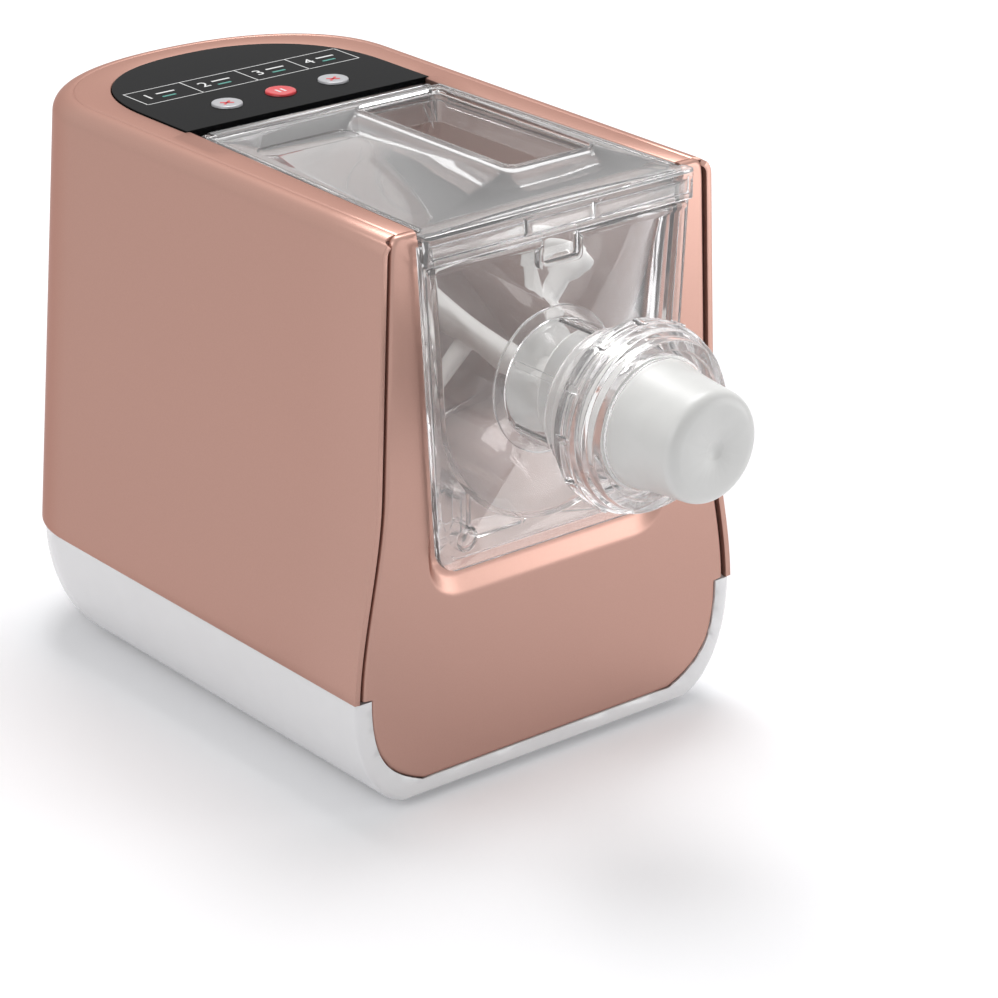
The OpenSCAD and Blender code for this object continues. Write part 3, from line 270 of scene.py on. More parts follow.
def thicken(piece, wall, even=True):
    skin = piece.modifiers.new("wall", "SOLIDIFY")
    skin.thickness = wall * MM
    skin.offset = -1
    skin.use_even_offset = even


def box_into(bm, low, high):
    """A plain box between two corners, in millimetres."""
    middle = (at(*low) + at(*high)) / 2
    size = at(*high) - at(*low)
    place = Matrix.Translation(middle) @ Matrix.Diagonal((*size, 1))
    return bmesh.ops.create_cube(bm, size=1, matrix=place)["verts"]


def cutter(name, bm):
    """A shape that is cut out of a piece and isn't seen itself."""
    bmesh.ops.recalc_face_normals(bm, faces=bm.faces)
    mesh = bpy.data.meshes.new(name)
    bm.to_mesh(mesh)
    bm.free()
    tool = bpy.data.objects.new(name, mesh)
    bpy.context.scene.collection.objects.link(tool)
    return tool


def combine(piece, tool, operation="DIFFERENCE"):
    """Cuts a tool out of a piece, or joins it on, for good."""
    change = piece.modifiers.new("change", "BOOLEAN")
    change.operation = operation
    change.solver = "EXACT"
    change.object = tool
    settle(piece)
    bpy.data.objects.remove(tool)


def settle(piece):
    """Applies a piece's modifiers to its mesh."""
    bpy.context.view_layer.update()
    shape = piece.evaluated_get(bpy.context.evaluated_depsgraph_get())
    mesh = bpy.data.meshes.new_from_object(shape)
    piece.modifiers.clear()
    piece.data = mesh


def new_finish(name, **inputs):
    """A material with one Principled shader; its inputs are given by name."""
    material = bpy.data.materials.new(name)
    material.use_nodes = True
    tree = material.node_tree
    shader = tree.nodes["Principled BSDF"]
    for key, value in inputs.items():
        shader.inputs[key.replace("_", " ")].default_value = value
    return material, tree, shader


def grain(tree, size, detail=2.0, stretch=(1, 1, 1)):
    """Noise whose grain is a real size in millimetres."""
    place = add(tree, "ShaderNodeTexCoord").outputs["Object"]
    scaled = add(tree, "ShaderNodeMapping", {"Vector": place, "Scale": stretch})
    return add(tree, "ShaderNodeTexNoise", {"Vector": scaled.outputs[0], "Scale": 1 / (size * MM),
                                            "Detail": detail}).outputs["Fac"]


def remap(tree, value, low, high):
    return add(tree, "ShaderNodeMapRange", {"Value": value, "To Min": low, "To Max": high}).outputs[0]


def rough_by(tree, shader, value, low, high):
    tree.links.new(remap(tree, value, low, high), shader.inputs["Roughness"])


def bump_by(tree, shader, value, height):
    """Relief from a value; the height is in millimetres."""
    bump = add(tree, "ShaderNodeBump", {"Height": value, "Distance": height * MM, "Strength": 1.0})
    tree.links.new(bump.outputs[0], shader.inputs["Normal"])


def tint_by(tree, shader, value, first, second):
    """Colour that wanders between two close shades."""
    mix = add(tree, "ShaderNodeMix", {"Factor": value, "A": linear(first), "B": linear(second)},
              data_type="RGBA")
    tree.links.new(mix.outputs["Result"], shader.inputs["Base Color"])


def rose_paint():
    """Metallic lacquer on ABS: fine flakes in a rose base give a satin, slightly pearly metal."""
    material, tree, shader = new_finish("rose_metallic_lacquer", Metallic=0.78, IOR=1.5, Coat_Weight=0.12,
                                        Coat_Roughness=0.3, Specular_Tint=linear("#C49A8E"))
    # The flakes are about 0.05 mm; they are drawn at 0.7 mm so that they show at all
    flakes = grain(tree, 0.7, 1.0)
    tint_by(tree, shader, flakes, "#BA9488", "#B58F83")
    rough_by(tree, shader, flakes, 0.33, 0.39)
    bump_by(tree, shader, grain(tree, 9, 0.0), 0.004)
    return material


rose = rose_paint()


def shell_row(z, inset, front):
    side_ys = [front] + [FRONT + y for y in (48, 96, 144, 185, 192, 212, 231)]
    near, far = front_half(z) - inset, rear_half(z) - inset
    side = [(blend(near, far, (y - FRONT) / (SHOULDER - FRONT)), y) for y in side_ys]
    back = BACK - BACK_LEAN * (1 - fall(z)) - inset
    return [at(x, y, z) for x, y in horseshoe(side, bow(far, SHOULDER, back, RIM_ROUND))]


def deck_row(z, grow):
    """The deck's inner edge: along the bay, out to the control panel and round it."""
    out = PANEL_GAP + grow
    side = [(blend(BAY_HALF, BAY_REAR_HALF, (y - FRONT) / BAY_LENGTH) + grow, y)
            for y in (DECK_FRONT, FRONT + 48, FRONT + 96, FRONT + 144, BAY_END)]
    side += [(PANEL_HALF + out, y) for y in (BAY_END, FRONT + 202, FRONT + 214)]
    back = bow(PANEL_HALF + out, PANEL_SHOULDER, PANEL_BACK + out, PANEL_ROUND)
    return [at(x, y, z) for x, y in horseshoe(side, back)]


bm = bmesh.new()
levels = [blend(SHELL_FOOT, DECK - RIM, i / 40) for i in range(41)]
row = new_row(bm, shell_row(levels[0], 0, FRONT))
for z in levels[1:]:
    row = next_row(bm, row, shell_row(z, 0, FRONT))
for i in range(1, 11):
    turn = math.pi / 2 * i / 10
    inset = RIM * (1 - math.cos(turn))
    start = DECK_FRONT if inset > WALL else FRONT
    row = next_row(bm, row, shell_row(DECK - RIM * (1 - math.sin(turn)), inset, start))
# A fine line between the rim and the deck
for inset, drop in ((9.5, 0.05), (10.1, 0.4), (10.7, 0.05), (11.2, 0)):
    row = next_row(bm, row, shell_row(DECK - drop, inset, DECK_FRONT))
row = next_row(bm, row, deck_row(DECK, 0.8))
row = next_row(bm, row, deck_row(DECK - 0.25, 0.2))
row = next_row(bm, row, deck_row(DECK - 0.8, 0))
row = next_row(bm, row, deck_row(DECK - 5, 0))
shell = make_piece("shell_skin", bm, rose, "housing", ["body_shell"])
thicken(shell, WALL)
settle(shell)

# Air slots and the opening for the mains inlet, both cut through the rounded back
BACK_SLOTS, SLOT_PITCH, SLOT_HALF = 9, 9, 1.5
SLOT_LOW, SLOT_HIGH = 170, 214
INLET_HALF, INLET_LOW, INLET_HIGH = 15.3, 74.2, 93.8
bm = bmesh.new()
for i in range(BACK_SLOTS):
    x = (i - (BACK_SLOTS - 1) / 2) * SLOT_PITCH
    box_into(bm, (x - SLOT_HALF, BACK - 30, SLOT_LOW), (x + SLOT_HALF, BACK + 5, SLOT_HIGH))
box_into(bm, (-INLET_HALF, BACK - 30, INLET_LOW), (INLET_HALF, BACK + 5, INLET_HIGH))
combine(shell, cutter("back_openings", bm))
soften(shell, 0.6, 2, 50)

# ---- Front panel ----
# A flat moulding in the same lacquer, set between the side walls with a dark gap on both
# sides, and cut away in the middle for the bowl. A broad bevel runs under the opening.
GAP = 2.2
CORNER = 5
PANEL_TOP = DECK - 0.3
PANEL_INNER = 79.7
PANEL_FOOT = 13
BASE_CURVE_TOP = SHELL_FOOT - 4
BAND = 9.5
BASE_FOOT = 4
BASE_TUCK = 34
BAY_FOOT = 120.5
BAY_CORNER = 10
PANEL_WALL = 1.6


def base_turn(z):
    reach = max(0, BASE_CURVE_TOP - z) / (BASE_CURVE_TOP - BASE_FOOT + 0.6)
    return 1 - math.sqrt(max(0, 1 - reach * reach))


def base_half(z):
    return front_half(SHELL_FOOT) - 0.5 - BASE_TUCK * base_turn(z)


def low_half(z):
    """Half width of the panel below the shell, inside the white band of the base."""
    drop = max(0, (SHELL_FOOT - z) / (SHELL_FOOT - PANEL_FOOT))
    return base_half(z) - BAND - 15 * drop ** 6


def panel_outer(inset, y):
    """The panel's outline from its top right corner, down, across and up again."""
    edge = WALL + GAP + inset
    corner = front_half(PANEL_TOP) - edge - CORNER
    side = [(blend(PANEL_INNER, corner, i / 4), PANEL_TOP - inset) for i in range(4)]
    for i in range(7):
        turn = math.pi / 2 * i / 6
        side.append((front_half(PANEL_TOP) - edge - CORNER * (1 - math.sin(turn)),
                     PANEL_TOP - inset - CORNER * (1 - math.cos(turn))))
    heights = [blend(PANEL_TOP - 9, SHELL_FOOT + 0.6, i / 30) for i in range(31)]
    side += [(front_half(z) - edge, z) for z in heights]
    steps = [SHELL_FOOT, 60, 54, 47, 40, 34, 29, 25, 21.5, 18.5, 16, 14.2, PANEL_FOOT]
    side += [(low_half(z) - 0.35 - inset, z + inset * (z < 30)) for z in steps]
    foot_x, foot_z = side[-1]
    side += [(foot_x * (1 - i / 8), foot_z) for i in range(1, 8)]
    line = side + [(0, foot_z)] + [(-x, z) for x, z in reversed(side)]
    return [at(x, y, z) for x, z in line]


def keep_sharp(piece, angle):
    """Smooth shading stops at the edges that are sharper than the angle."""
    piece.data.set_sharp_from_angle(angle=math.radians(angle))


def bay_outline(count, grow, y, sill=0):
    """The bay's outline with as many points as the panel's, evenly spread along it."""
    radius = BAY_CORNER + 0.6 * sill
    foot = BAY_FOOT - grow - sill
    spread = 0.3 * sill
    corner_x = BAY_LOW_HALF + grow + spread
    top = PANEL_TOP - 3.4
    path = [(blend(BAY_HALF, BAY_LOW_HALF, i / 20) + grow + spread * ease(i / 20 * 3 - 2),
             blend(top, foot + radius, i / 20)) for i in range(20)]
    for i in range(9):
        turn = math.pi / 2 * i / 8
        path.append((corner_x - radius * (1 - math.cos(turn)), foot + radius * (1 - math.sin(turn))))
    path.append((0, foot))
    path += [(-x, z) for x, z in reversed(path[:-1])]
    lengths = [0]
    for (x0, z0), (x1, z1) in zip(path, path[1:]):
        lengths.append(lengths[-1] + math.hypot(x1 - x0, z1 - z0))
    points = []
    k = 0
    for i in range(count):
        want = lengths[-1] * i / (count - 1)
        while k < len(path) - 2 and lengths[k + 1] < want:
            k += 1
        t = (want - lengths[k]) / (lengths[k + 1] - lengths[k])
        points.append(at(blend(path[k][0], path[k + 1][0], t), y, blend(path[k][1], path[k + 1][1], t)))
    return points


bm = bmesh.new()
row = new_row(bm, panel_outer(0, FRONT + 3.3))
count = len(row)
for inset, depth in ((0, 1.9), (0.2, 1.1), (0.65, 0.42), (1.2, 0.1), (1.8, 0), (2.6, 0)):
    row = next_row(bm, row, panel_outer(inset, FRONT + depth))
for grow, sill, depth in ((0.9, 18, 0), (0.8, 17, 0), (0.8, 16, 0.1), (0.75, 15, 0.35), (0.7, 13.6, 0.85),
                          (0.6, 12, 1.45), (0.5, 10.2, 2.15), (0.4, 8.4, 2.85), (0.3, 7, 3.25),
                          (0.2, 5, 3.4), (0, 0, 3.4)):
    row = next_row(bm, row, bay_outline(count, grow, FRONT + depth, sill))
panel = make_piece("front_skin", bm, rose, "housing", ["front_panel"])
# The bay's sharp edges would throw spikes through the sides with an even wall
thicken(panel, PANEL_WALL, even=False)
settle(panel)
keep_sharp(panel, 40)


def gap_shade_finish():
    """Painted shade: a dark matt strip behind the gap that stands in for the shadow deep inside it."""
    return new_finish("painted_gap_shade", Base_Color=linear("#5B3A32"), Roughness=0.6)[0]


# A dark strip behind each side gap: painted shade for the depth of the gap
bm = bmesh.new()
heights = [blend(PANEL_TOP - 2, SHELL_FOOT + 0.5, i / 20) for i in range(21)]
line = [(front_half(z) - WALL, z) for z in heights]
for side in (1, -1):
    row = new_row(bm, [at(side * (x - 0.1), FRONT + 2.8, z) for x, z in line])
    row = next_row(bm, row, [at(side * (x - 4), FRONT + 2.8, z) for x, z in line])
gap_shade_strip = make_piece("gap_shade_strip", bm, gap_shade_finish(), "housing")
thicken(gap_shade_strip, 0.4)

# ---- Base tray ----
# A white ABS tray with a polished skin. Its lower edge curves under all round, and at the
# front it shows as a band round the foot of the rose panel.
FILLET = 3


def base_side(z):
    half = base_half(z)
    back = BACK - 6 - 30 * base_turn(z)
    side = [(half, FRONT + y) for y in (FILLET, 12, 48, 96, 144, 192, 231)]
    return [at(x, y, z) for x, y in horseshoe(side, bow(half, SHOULDER, back, RIM_ROUND))]


def white_abs():
    """Polished white ABS: a clean gloss with the faint ripple of a moulding."""
    material, tree, shader = new_finish("white_abs_polished", IOR=1.53)
    cloud = grain(tree, 14, 1.0)
    tint_by(tree, shader, cloud, "#EFEFF0", "#EBEBEC")
    rough_by(tree, shader, cloud, 0.18, 0.24)
    bump_by(tree, shader, cloud, 0.008)
    return material


white_gloss = white_abs()
bm = bmesh.new()
BASE_TOP = SHELL_FOOT - 0.4
drops = [1 - (1 - i / 26) ** 1.6 for i in range(27)]
heights = [blend(BASE_TOP, BASE_FOOT, drop) for drop in drops]
row = new_row(bm, base_side(heights[0]))
right_end, left_end = [row[0]], [row[-1]]
for z in heights[1:]:
    row = next_row(bm, row, base_side(z))
    right_end.append(row[0])
    left_end.append(row[-1])
bottom = row
foot_half = base_half(BASE_FOOT)
across = [bm.verts.new(at(foot_half * (1 - 2 * i / 16), FRONT + FILLET, BASE_FOOT)) for i in range(1, 16)]
edge = right_end + across + list(reversed(left_end))
for a, b in zip(edge, edge[1:]):
    if bm.edges.get((a, b)) is None:
        bm.edges.new((a, b))
bm.faces.new(bottom + list(reversed(across)))


def band(side, y):
    """The white band's line: down one side, across the front and up the other side."""
    foot_x, foot_z = side[-1]
    middle = [(foot_x * (1 - 2 * i / 16), foot_z) for i in range(1, 16)]
    return [at(x, y, z) for x, z in side + middle + [(-x, z) for x, z in reversed(side)]]


def band_outer(inset, y):
    return band([(base_half(z) - inset, z + inset * drop ** 6) for z, drop in zip(heights, drops)], y)


def band_inner(y):
    return band([(low_half(z), z) for z in [blend(BASE_TOP, PANEL_FOOT - 0.2, drop) for drop in drops]], y)


row = edge
for inset, depth in ((0.25, 1.85), (0.9, 0.9), (1.85, 0.25), (3, 0)):
    row = next_row(bm, row, band_outer(inset, FRONT + depth))
row = next_row(bm, row, band_inner(FRONT))
row = next_row(bm, row, band_inner(FRONT + 3))
tray = make_piece("base_skin", bm, white_gloss, "housing", ["base_tray"])
thicken(tray, WALL)
settle(tray)

# Air slots in the bottom, and the holes that the base screws go up through
BOTTOM_SLOTS, SLOT_NEAR, SLOT_FAR = 5, 243, 277
HOLE_X, HOLE_YS, HOLE_R = 55, (32, 150), 4.1
bm = bmesh.new()
for i in range(BOTTOM_SLOTS):
    x = (i - (BOTTOM_SLOTS - 1) / 2) * SLOT_PITCH
    box_into(bm, (x - SLOT_HALF, FRONT + SLOT_NEAR, 0), (x + SLOT_HALF, FRONT + SLOT_FAR, 10))
for x in (-HOLE_X, HOLE_X):
    for y in HOLE_YS:
        bmesh.ops.create_cone(bm, cap_ends=True, segments=32, radius1=HOLE_R * MM, radius2=HOLE_R * MM,
                              depth=20 * MM, matrix=Matrix.Translation(at(x, FRONT + y, 4)))
combine(tray, cutter("base_openings", bm))
soften(tray, 0.5, 2, 50)

# ---- Plain finishes for the pieces inside ----
# The CAD nodes that show through slots, clear plastic or an open lid keep their shapes and
# take the finish of the real material.


def dress(node, finish):
    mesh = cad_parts[node].data
    mesh.materials.clear()
    mesh.materials.append(finish)


def brushed_steel():
    material, tree, shader = new_finish("stainless_steel_turned", Metallic=1.0, Base_Color=linear("#C9C9CB"))
    marks = grain(tree, 0.5, 2.0, (1, 0.08, 1))
    rough_by(tree, shader, marks, 0.22, 0.36)
    return material


def grained_plastic(name, first, second, roughness):
    """Moulded plastic with a spark-eroded grain of about 0.4 mm."""
    material, tree, shader = new_finish(name, IOR=1.5)
    pits = grain(tree, 0.4, 2.0)
    tint_by(tree, shader, grain(tree, 8, 1.0), first, second)
    rough_by(tree, shader, pits, roughness - 0.06, roughness + 0.08)
    bump_by(tree, shader, pits, 0.02)
    return material


steel = brushed_steel()
black_plastic = grained_plastic("black_abs_grained", "#161617", "#1C1C1E", 0.5)
grey_plastic = grained_plastic("grey_abs_grained", "#6E7072", "#747678", 0.5)
food_white = grained_plastic("white_polypropylene", "#E0E0DE", "#DADAD8", 0.34)
rubber = grained_plastic("grey_rubber_moulded", "#4A4A4C", "#525254", 0.75)
silicone = grained_plastic("white_silicone", "#DEDEDC", "#D6D6D4", 0.5)
nylon = grained_plastic("natural_nylon", "#E2DDCB", "#DAD5C2", 0.42)
board_green = grained_plastic("solder_mask_on_glass_fibre", "#1E4D33", "#24583A", 0.35)
brass = new_finish("turned_brass", Metallic=1.0, Base_Color=linear("#D0A860"), Roughness=0.3)[0]
copper = new_finish("enamelled_copper_wire", Metallic=0.9, Base_Color=linear("#B5652F"), Roughness=0.35)[0]
cast_metal = grained_plastic("die_cast_aluminium", "#8E9092", "#9A9C9E", 0.45)
liner_plastic = grained_plastic("pale_rose_abs_grained", "#C2AAA3", "#BCA49D", 0.42)
for finish, nodes in {
    steel: "base_screws panel_screws liner_screws frame_screws board_screws gearbox_screws motor_screws "
           "idler_pin motor_case field_core start_spring stop_spring mode_spring drive_coupler motor_pinion "
           "motor_rotor hinge_rod mixing_shaft",
    black_plastic: "mains_inlet lid_sensor motor_end_cap cooling_fan",
    grey_plastic: "button_frame",
    food_white: "mixing_paddle extruder_screw",
    rubber: "rubber_feet motor_saddle",
    silicone: "shaft_seal die_gasket",
    nylon: "output_gear idler_gear",
    board_green: "control_board power_board",
    brass: "inlet_pins output_bushes motor_bushes",
    copper: "field_coils",
    cast_metal: "gearbox_case gearbox_cover",
    liner_plastic: "bay_liner",
}.items():
    for node in nodes.split():
        dress(node, finish)

# ---- Control panel ----
# A slab of black acrylic with an anti-glare coat. It lies in the deck's recess with a fine gap
# round it, stands a little proud of the deck, and has three round holes for the keys.
PANEL_FACE = DECK + 0.4
SLAB = 3
KEY_HOLE_GAP = 0.25


def satin_black():
    """Black acrylic with an anti-glare coat: smooth, with weak reflections."""
    material, tree, shader = new_finish("black_acrylic_satin", IOR=1.49, Base_Color=linear("#121213"),
                                        Specular_IOR_Level=0.012)
    rough_by(tree, shader, grain(tree, 30, 1.0), 0.16, 0.22)
    return material


def plan_prism(bm, line, low, high):
    """A solid between two heights over a closed line in plan."""
    base = bm.faces.new([bm.verts.new(at(x, y, low)) for x, y in line])
    made = bmesh.ops.extrude_face_region(bm, geom=[base])["geom"]
    up = [v for v in made if isinstance(v, bmesh.types.BMVert)]
    bmesh.ops.translate(bm, verts=up, vec=at(0, 0, high - low))


def disc_into(bm, x, y, low, high, radius):
    bmesh.ops.create_cone(bm, cap_ends=True, segments=48, radius1=radius * MM, radius2=radius * MM,
                          depth=(high - low) * MM, matrix=Matrix.Translation(at(x, y, (low + high) / 2)))


panel_line = horseshoe([(PANEL_HALF, BAY_END)], bow(PANEL_HALF, PANEL_SHOULDER, PANEL_BACK, PANEL_ROUND))
bm = bmesh.new()
plan_prism(bm, panel_line, PANEL_FACE - SLAB, PANEL_FACE)
slab = make_piece("control_slab", bm, satin_black(), "housing", ["control_panel"],
                  smooth=False)
BUTTON_Y = BAY_END + 25.5
BUTTON_XS = (-33, 0, 33)
BUTTON_R = 7.9
bm = bmesh.new()
for x in BUTTON_XS:
    disc_into(bm, x, BUTTON_Y, PANEL_FACE - 8, PANEL_FACE + 4, BUTTON_R + KEY_HOLE_GAP)
combine(slab, cutter("button_holes", bm))
soften(slab, 0.35, 3, 50)

# ---- Printed marks ----
# Screen-printed ink on the slab: four outlined boxes in a row, each with a plain number and
# two short bars. The ink stands a hair above the surface.
INK = 0.06
white_ink = new_finish("white_ink", Base_Color=linear("#DCDCDC"), Roughness=0.4)[0]
teal_ink = new_finish("teal_ink", Base_Color=linear("#2F8F82"), Roughness=0.4)[0]
red_ink = new_finish("red_ink", Base_Color=linear("#D2202C"), Roughness=0.4)[0]
BOX_XS = (-65, -31, 3, 35, 67)
BOX_Y0, BOX_Y1 = FRONT + 237, FRONT + 259
LINE = 0.55
bm = bmesh.new()
for y in (BOX_Y0, BOX_Y1):
    box_into(bm, (BOX_XS[0], y, PANEL_FACE), (BOX_XS[-1], y + LINE, PANEL_FACE + INK))
for x in BOX_XS:
    box_into(bm, (x, BOX_Y0, PANEL_FACE), (x + LINE, BOX_Y1, PANEL_FACE + INK))
for left in BOX_XS[:-1]:
    box_into(bm, (left + 14, BOX_Y0 + 12.5, PANEL_FACE), (left + 25, BOX_Y0 + 14, PANEL_FACE + INK))
make_piece("printed_boxes", bm, white_ink, "housing", smooth=False)
bm = bmesh.new()
for left in BOX_XS[:-1]:
    box_into(bm, (left + 14, BOX_Y0 + 6.5, PANEL_FACE), (left + 22, BOX_Y0 + 8, PANEL_FACE + INK))
make_piece("printed_bars", bm, teal_ink, "housing", smooth=False)


def printed_number(text, x, y, size):
    """A plain figure, turned to a mesh and set on the slab."""
    curve = bpy.data.curves.new("number_" + text, "FONT")
    curve.body = text
    curve.size = size * MM
    curve.extrude = INK * MM / 2
    curve.align_x = "CENTER"
    curve.align_y = "CENTER"
    drawn = bpy.data.objects.new("figure_" + text, curve)
    bpy.context.scene.collection.objects.link(drawn)
    bpy.context.view_layer.update()
    mesh = bpy.data.meshes.new_from_object(drawn)
    bpy.data.objects.remove(drawn)
    mesh.transform(Matrix.Translation(at(x, y, PANEL_FACE + INK / 2)))
    bm = bmesh.new()
    bm.from_mesh(mesh)
    make_piece("printed_number_" + text, bm, white_ink, "housing", smooth=False)


for i, left in enumerate(BOX_XS[:-1]):
    printed_number(str(i + 1), left + 8, BOX_Y0 + 11, 11)

# ---- Push buttons ----
# Three round keys: the outer two are grey with a red mark, the middle one is red with a
# white mark. Each has a softly dished top and slides in its hole.
STEM_R, STEM_END, FLANGE_R = 3.5, -21, 9.4
KEY_PROUD = 1


def key_cap(name, x, finish, body, node):
    """A dished cap on a stem, with a flange that stays under the slab."""
    profile = [(0, -0.35), (STEM_R, -0.3), (6.4, -0.05), (7.2, 0), (7.65, -0.15), (BUTTON_R, -0.5),
               (BUTTON_R, -4.4), (FLANGE_R, -4.4), (FLANGE_R, -5.8), (STEM_R, -5.8), (STEM_R, STEM_END),
               (0, STEM_END)]
    bm = bmesh.new()
    line = new_row(bm, [at(x + r, BUTTON_Y, PANEL_FACE + KEY_PROUD + z) for r, z in profile])
    edges = [bm.edges.get(pair) for pair in zip(line, line[1:])]
    bmesh.ops.spin(bm, geom=line + edges, cent=at(x, BUTTON_Y, 0), axis=(0, 0, 1), angle=math.tau, steps=64,
                   use_merge=True)
    piece = make_piece(name, bm, finish, body, [node])
    soften(piece, 0.2, 2, 50)


silver = new_finish("grey_abs_lacquered", Base_Color=linear("#A9A9AC"), Metallic=0.35, Roughness=0.38)[0]
red_plastic = new_finish("red_abs_polished", Base_Color=linear("#CF1F2A"), Roughness=0.28, IOR=1.52)[0]
key_cap("start_key_cap", BUTTON_XS[0], silver, "start_key", "start_button")
key_cap("stop_key_cap", BUTTON_XS[1], red_plastic, "stop_key", "stop_button")
key_cap("mode_key_cap", BUTTON_XS[2], silver, "mode_key", "mode_button")


def key_mark(name, x, bars, finish, body):
    """Short printed bars on a key, each as middle, length, width and turn."""
    bm = bmesh.new()
    for across, along, length, width, turn in bars:
        verts = box_into(bm, (-length / 2, -width / 2, 0), (length / 2, width / 2, 0.12))
        place = Matrix.Translation(at(x + across, BUTTON_Y + along, PANEL_FACE + 0.68))
        turned = Matrix.Rotation(math.radians(turn), 4, "Z")
        bmesh.ops.transform(bm, matrix=place @ turned, verts=verts)
    make_piece(name, bm, finish, body, smooth=False)


cross = ((0, 0, 7, 1.3, 35), (0, 0, 7, 1.3, -35))
key_mark("start_key_mark", BUTTON_XS[0], cross, red_ink, "start_key")
key_mark("mode_key_mark", BUTTON_XS[2], cross, red_ink, "mode_key")
key_mark("stop_key_mark", BUTTON_XS[1], ((-1.6, 0, 5, 1.2, 90), (1.6, 0, 5, 1.2, 90)), white_ink, "stop_key")

# ---- Clear plastic ----
# Bowl, lid, barrel and ring nut are moulded in clear SAN with a polished surface. The plastic
# has a faint milky haze, and the rounded edges catch the light.
SEAT = 0.3
AXIS = 200


def clear_san():
    """Polished SAN: clear with a little haze and the faint waves of a moulding."""
    material, tree, shader = new_finish("clear_san_polished", Base_Color=linear("#FBFAFA"), IOR=1.45,
                                        Transmission_Weight=0.95)
    rough_by(tree, shader, grain(tree, 6, 1.0), 0.01, 0.05)
    # Shadows and bounced light pass through, so that the inside of the bowl is lit
    path = add(tree, "ShaderNodeLightPath").outputs
    through = add(tree, "ShaderNodeMath", {0: path["Is Shadow Ray"], 1: path["Is Diffuse Ray"]},
                  operation="ADD", use_clamp=True)
    tree.links.new(remap(tree, through.outputs[0], 1.0, 0.05), shader.inputs["Alpha"])
    return material


clear = clear_san()


def loft_into(bm, rows):
    """A closed solid through closed rows of places, each with as many places as the first."""
    row = new_row(bm, rows[0], True)
    bm.faces.new(row)
    for places in rows[1:]:
        row = next_row(bm, row, places, True)
    bm.faces.new(row)


def plan_slab(bm, line, low, high):
    """A solid over a closed line in plan, between two heights."""
    loft_into(bm, [[at(x, y, z) for x, y in line] for z in (low, high)])


def front_slab(bm, line, near, far):
    """A solid over a closed line seen from the front, between two depths behind the front face."""
    loft_into(bm, [[at(x, FRONT + y, z) for x, z in line] for y in (near, far)])


def turned_into(bm, profile, steps=128):
    """A profile of radius and depth, turned about the shaft axis; one that starts there is solid."""
    ring = profile[0][0] > 0
    line = new_row(bm, [at(r, FRONT + y, AXIS) for r, y in profile], ring)
    edges = [bm.edges.get(pair) for pair in zip(line, line[1:] + line[:1] if ring else line[1:])]
    bmesh.ops.spin(bm, geom=line + edges, cent=at(0, 0, AXIS), axis=(0, 1, 0), angle=math.tau, steps=steps,
                   use_merge=True)


def rounded_box(x0, y0, x1, y1, r, steps=6):
    line = []
    for cx, cy, start in ((x1 - r, y1 - r, 0), (x0 + r, y1 - r, 90), (x0 + r, y0 + r, 180),
                          (x1 - r, y0 + r, 270)):
        for i in range(steps + 1):
            turn = math.radians(start + 90 * i / steps)
            line.append((cx + r * math.cos(turn), cy + r * math.sin(turn)))
    return line


def shape(name, build, *values):
    """One solid made by a function, ready to be joined to a piece or cut out of it."""
    bm = bmesh.new()
    build(bm, *values)
    return cutter(name, bm)


def solid_piece(name, build, finish, body, slot, replaced, *values):
    bm = bmesh.new()
    build(bm, *values)
    return make_piece(name, bm, finish, body, replaced)


def box_corners(bm, low, high):
    box_into(bm, (low[0], FRONT + low[1], low[2]), (high[0], FRONT + high[1], high[2]))


def rod_into(bm, radius, length, middle, axis, segments):
    place = Matrix.Translation(middle) @ Matrix.Rotation(math.pi / 2, 4, axis)
    bmesh.ops.create_cone(bm, cap_ends=True, segments=segments, radius1=radius * MM, radius2=radius * MM,
                          depth=length * MM, matrix=place)


def rod_across(bm, radius, x0, x1, y, z):
    rod_into(bm, radius, x1 - x0, at((x0 + x1) / 2, FRONT + y, z), "Y", 32)


def rod_along(bm, radius, y0, y1, x, z):
    rod_into(bm, radius, y1 - y0, at(x, FRONT + (y0 + y1) / 2, z), "X", 64)


def in_plan(line):
    """Places whose depth is measured from the front face."""
    return [(x, FRONT + y) for x, y in line]


def finish_clear(piece, width):
    """Rounds the sharp edges and smooths the rest."""
    bm = bmesh.new()
    bm.from_mesh(piece.data)
    bmesh.ops.remove_doubles(bm, verts=bm.verts, dist=0.02 * MM)
    bmesh.ops.triangulate(bm, faces=[face for face in bm.faces if len(face.verts) > 4])
    bm.to_mesh(piece.data)
    bm.free()
    soften(piece, width, 2, 35).use_clamp_overlap = False
    settle(piece)
    for face in piece.data.polygons:
        face.use_smooth = True
    keep_sharp(piece, 40)


# ---- Mixing bowl ----
# A trough with straight upper sides behind a flat front plate. The plate has a raised border, a
# bead under the lid, a small U-shaped latch tab, and a tubular boss in each lower corner.
TROUGH_R, BOWL_WALL = 69, 2.5
BOWL_REAR, BOWL_REAR_WALL = 175, 3
RIM_Z = DECK - 6.5
BOWL_HALF, BOWL_REAR_HALF = 75.6, 70.4
PLATE_HALF, PLATE_LOW_HALF, PLATE_LOW_Z, PLATE_R = 81.4, 72, 119, 12
PLATE_FRONT, PLATE_BACK = -5, -1.2
HINGE_Y, HINGE_Z, HINGE_R = 181.5, 284.3, 5.2
LUG_X, LUG_T = 66.4, 3.7
BAY_FLOOR = 121
BARREL_R, SEAL_R = 31, 9
BOSS_X, BOSS_Z, BOSS_R, BOSS_BORE = 53, BAY_FLOOR + 11, 6.2, 4.7
ROD_R = 2.1
FIELD_TOP = 268


def trough_line(half, inset, top):
    radius = TROUGH_R - inset
    turns = [math.radians(a) for a in range(-90, 1, 3)]
    side = [(radius * math.cos(a), AXIS + radius * math.sin(a)) for a in turns] + [(half - inset, top)]
    return side + [(-x, z) for x, z in reversed(side[1:])]


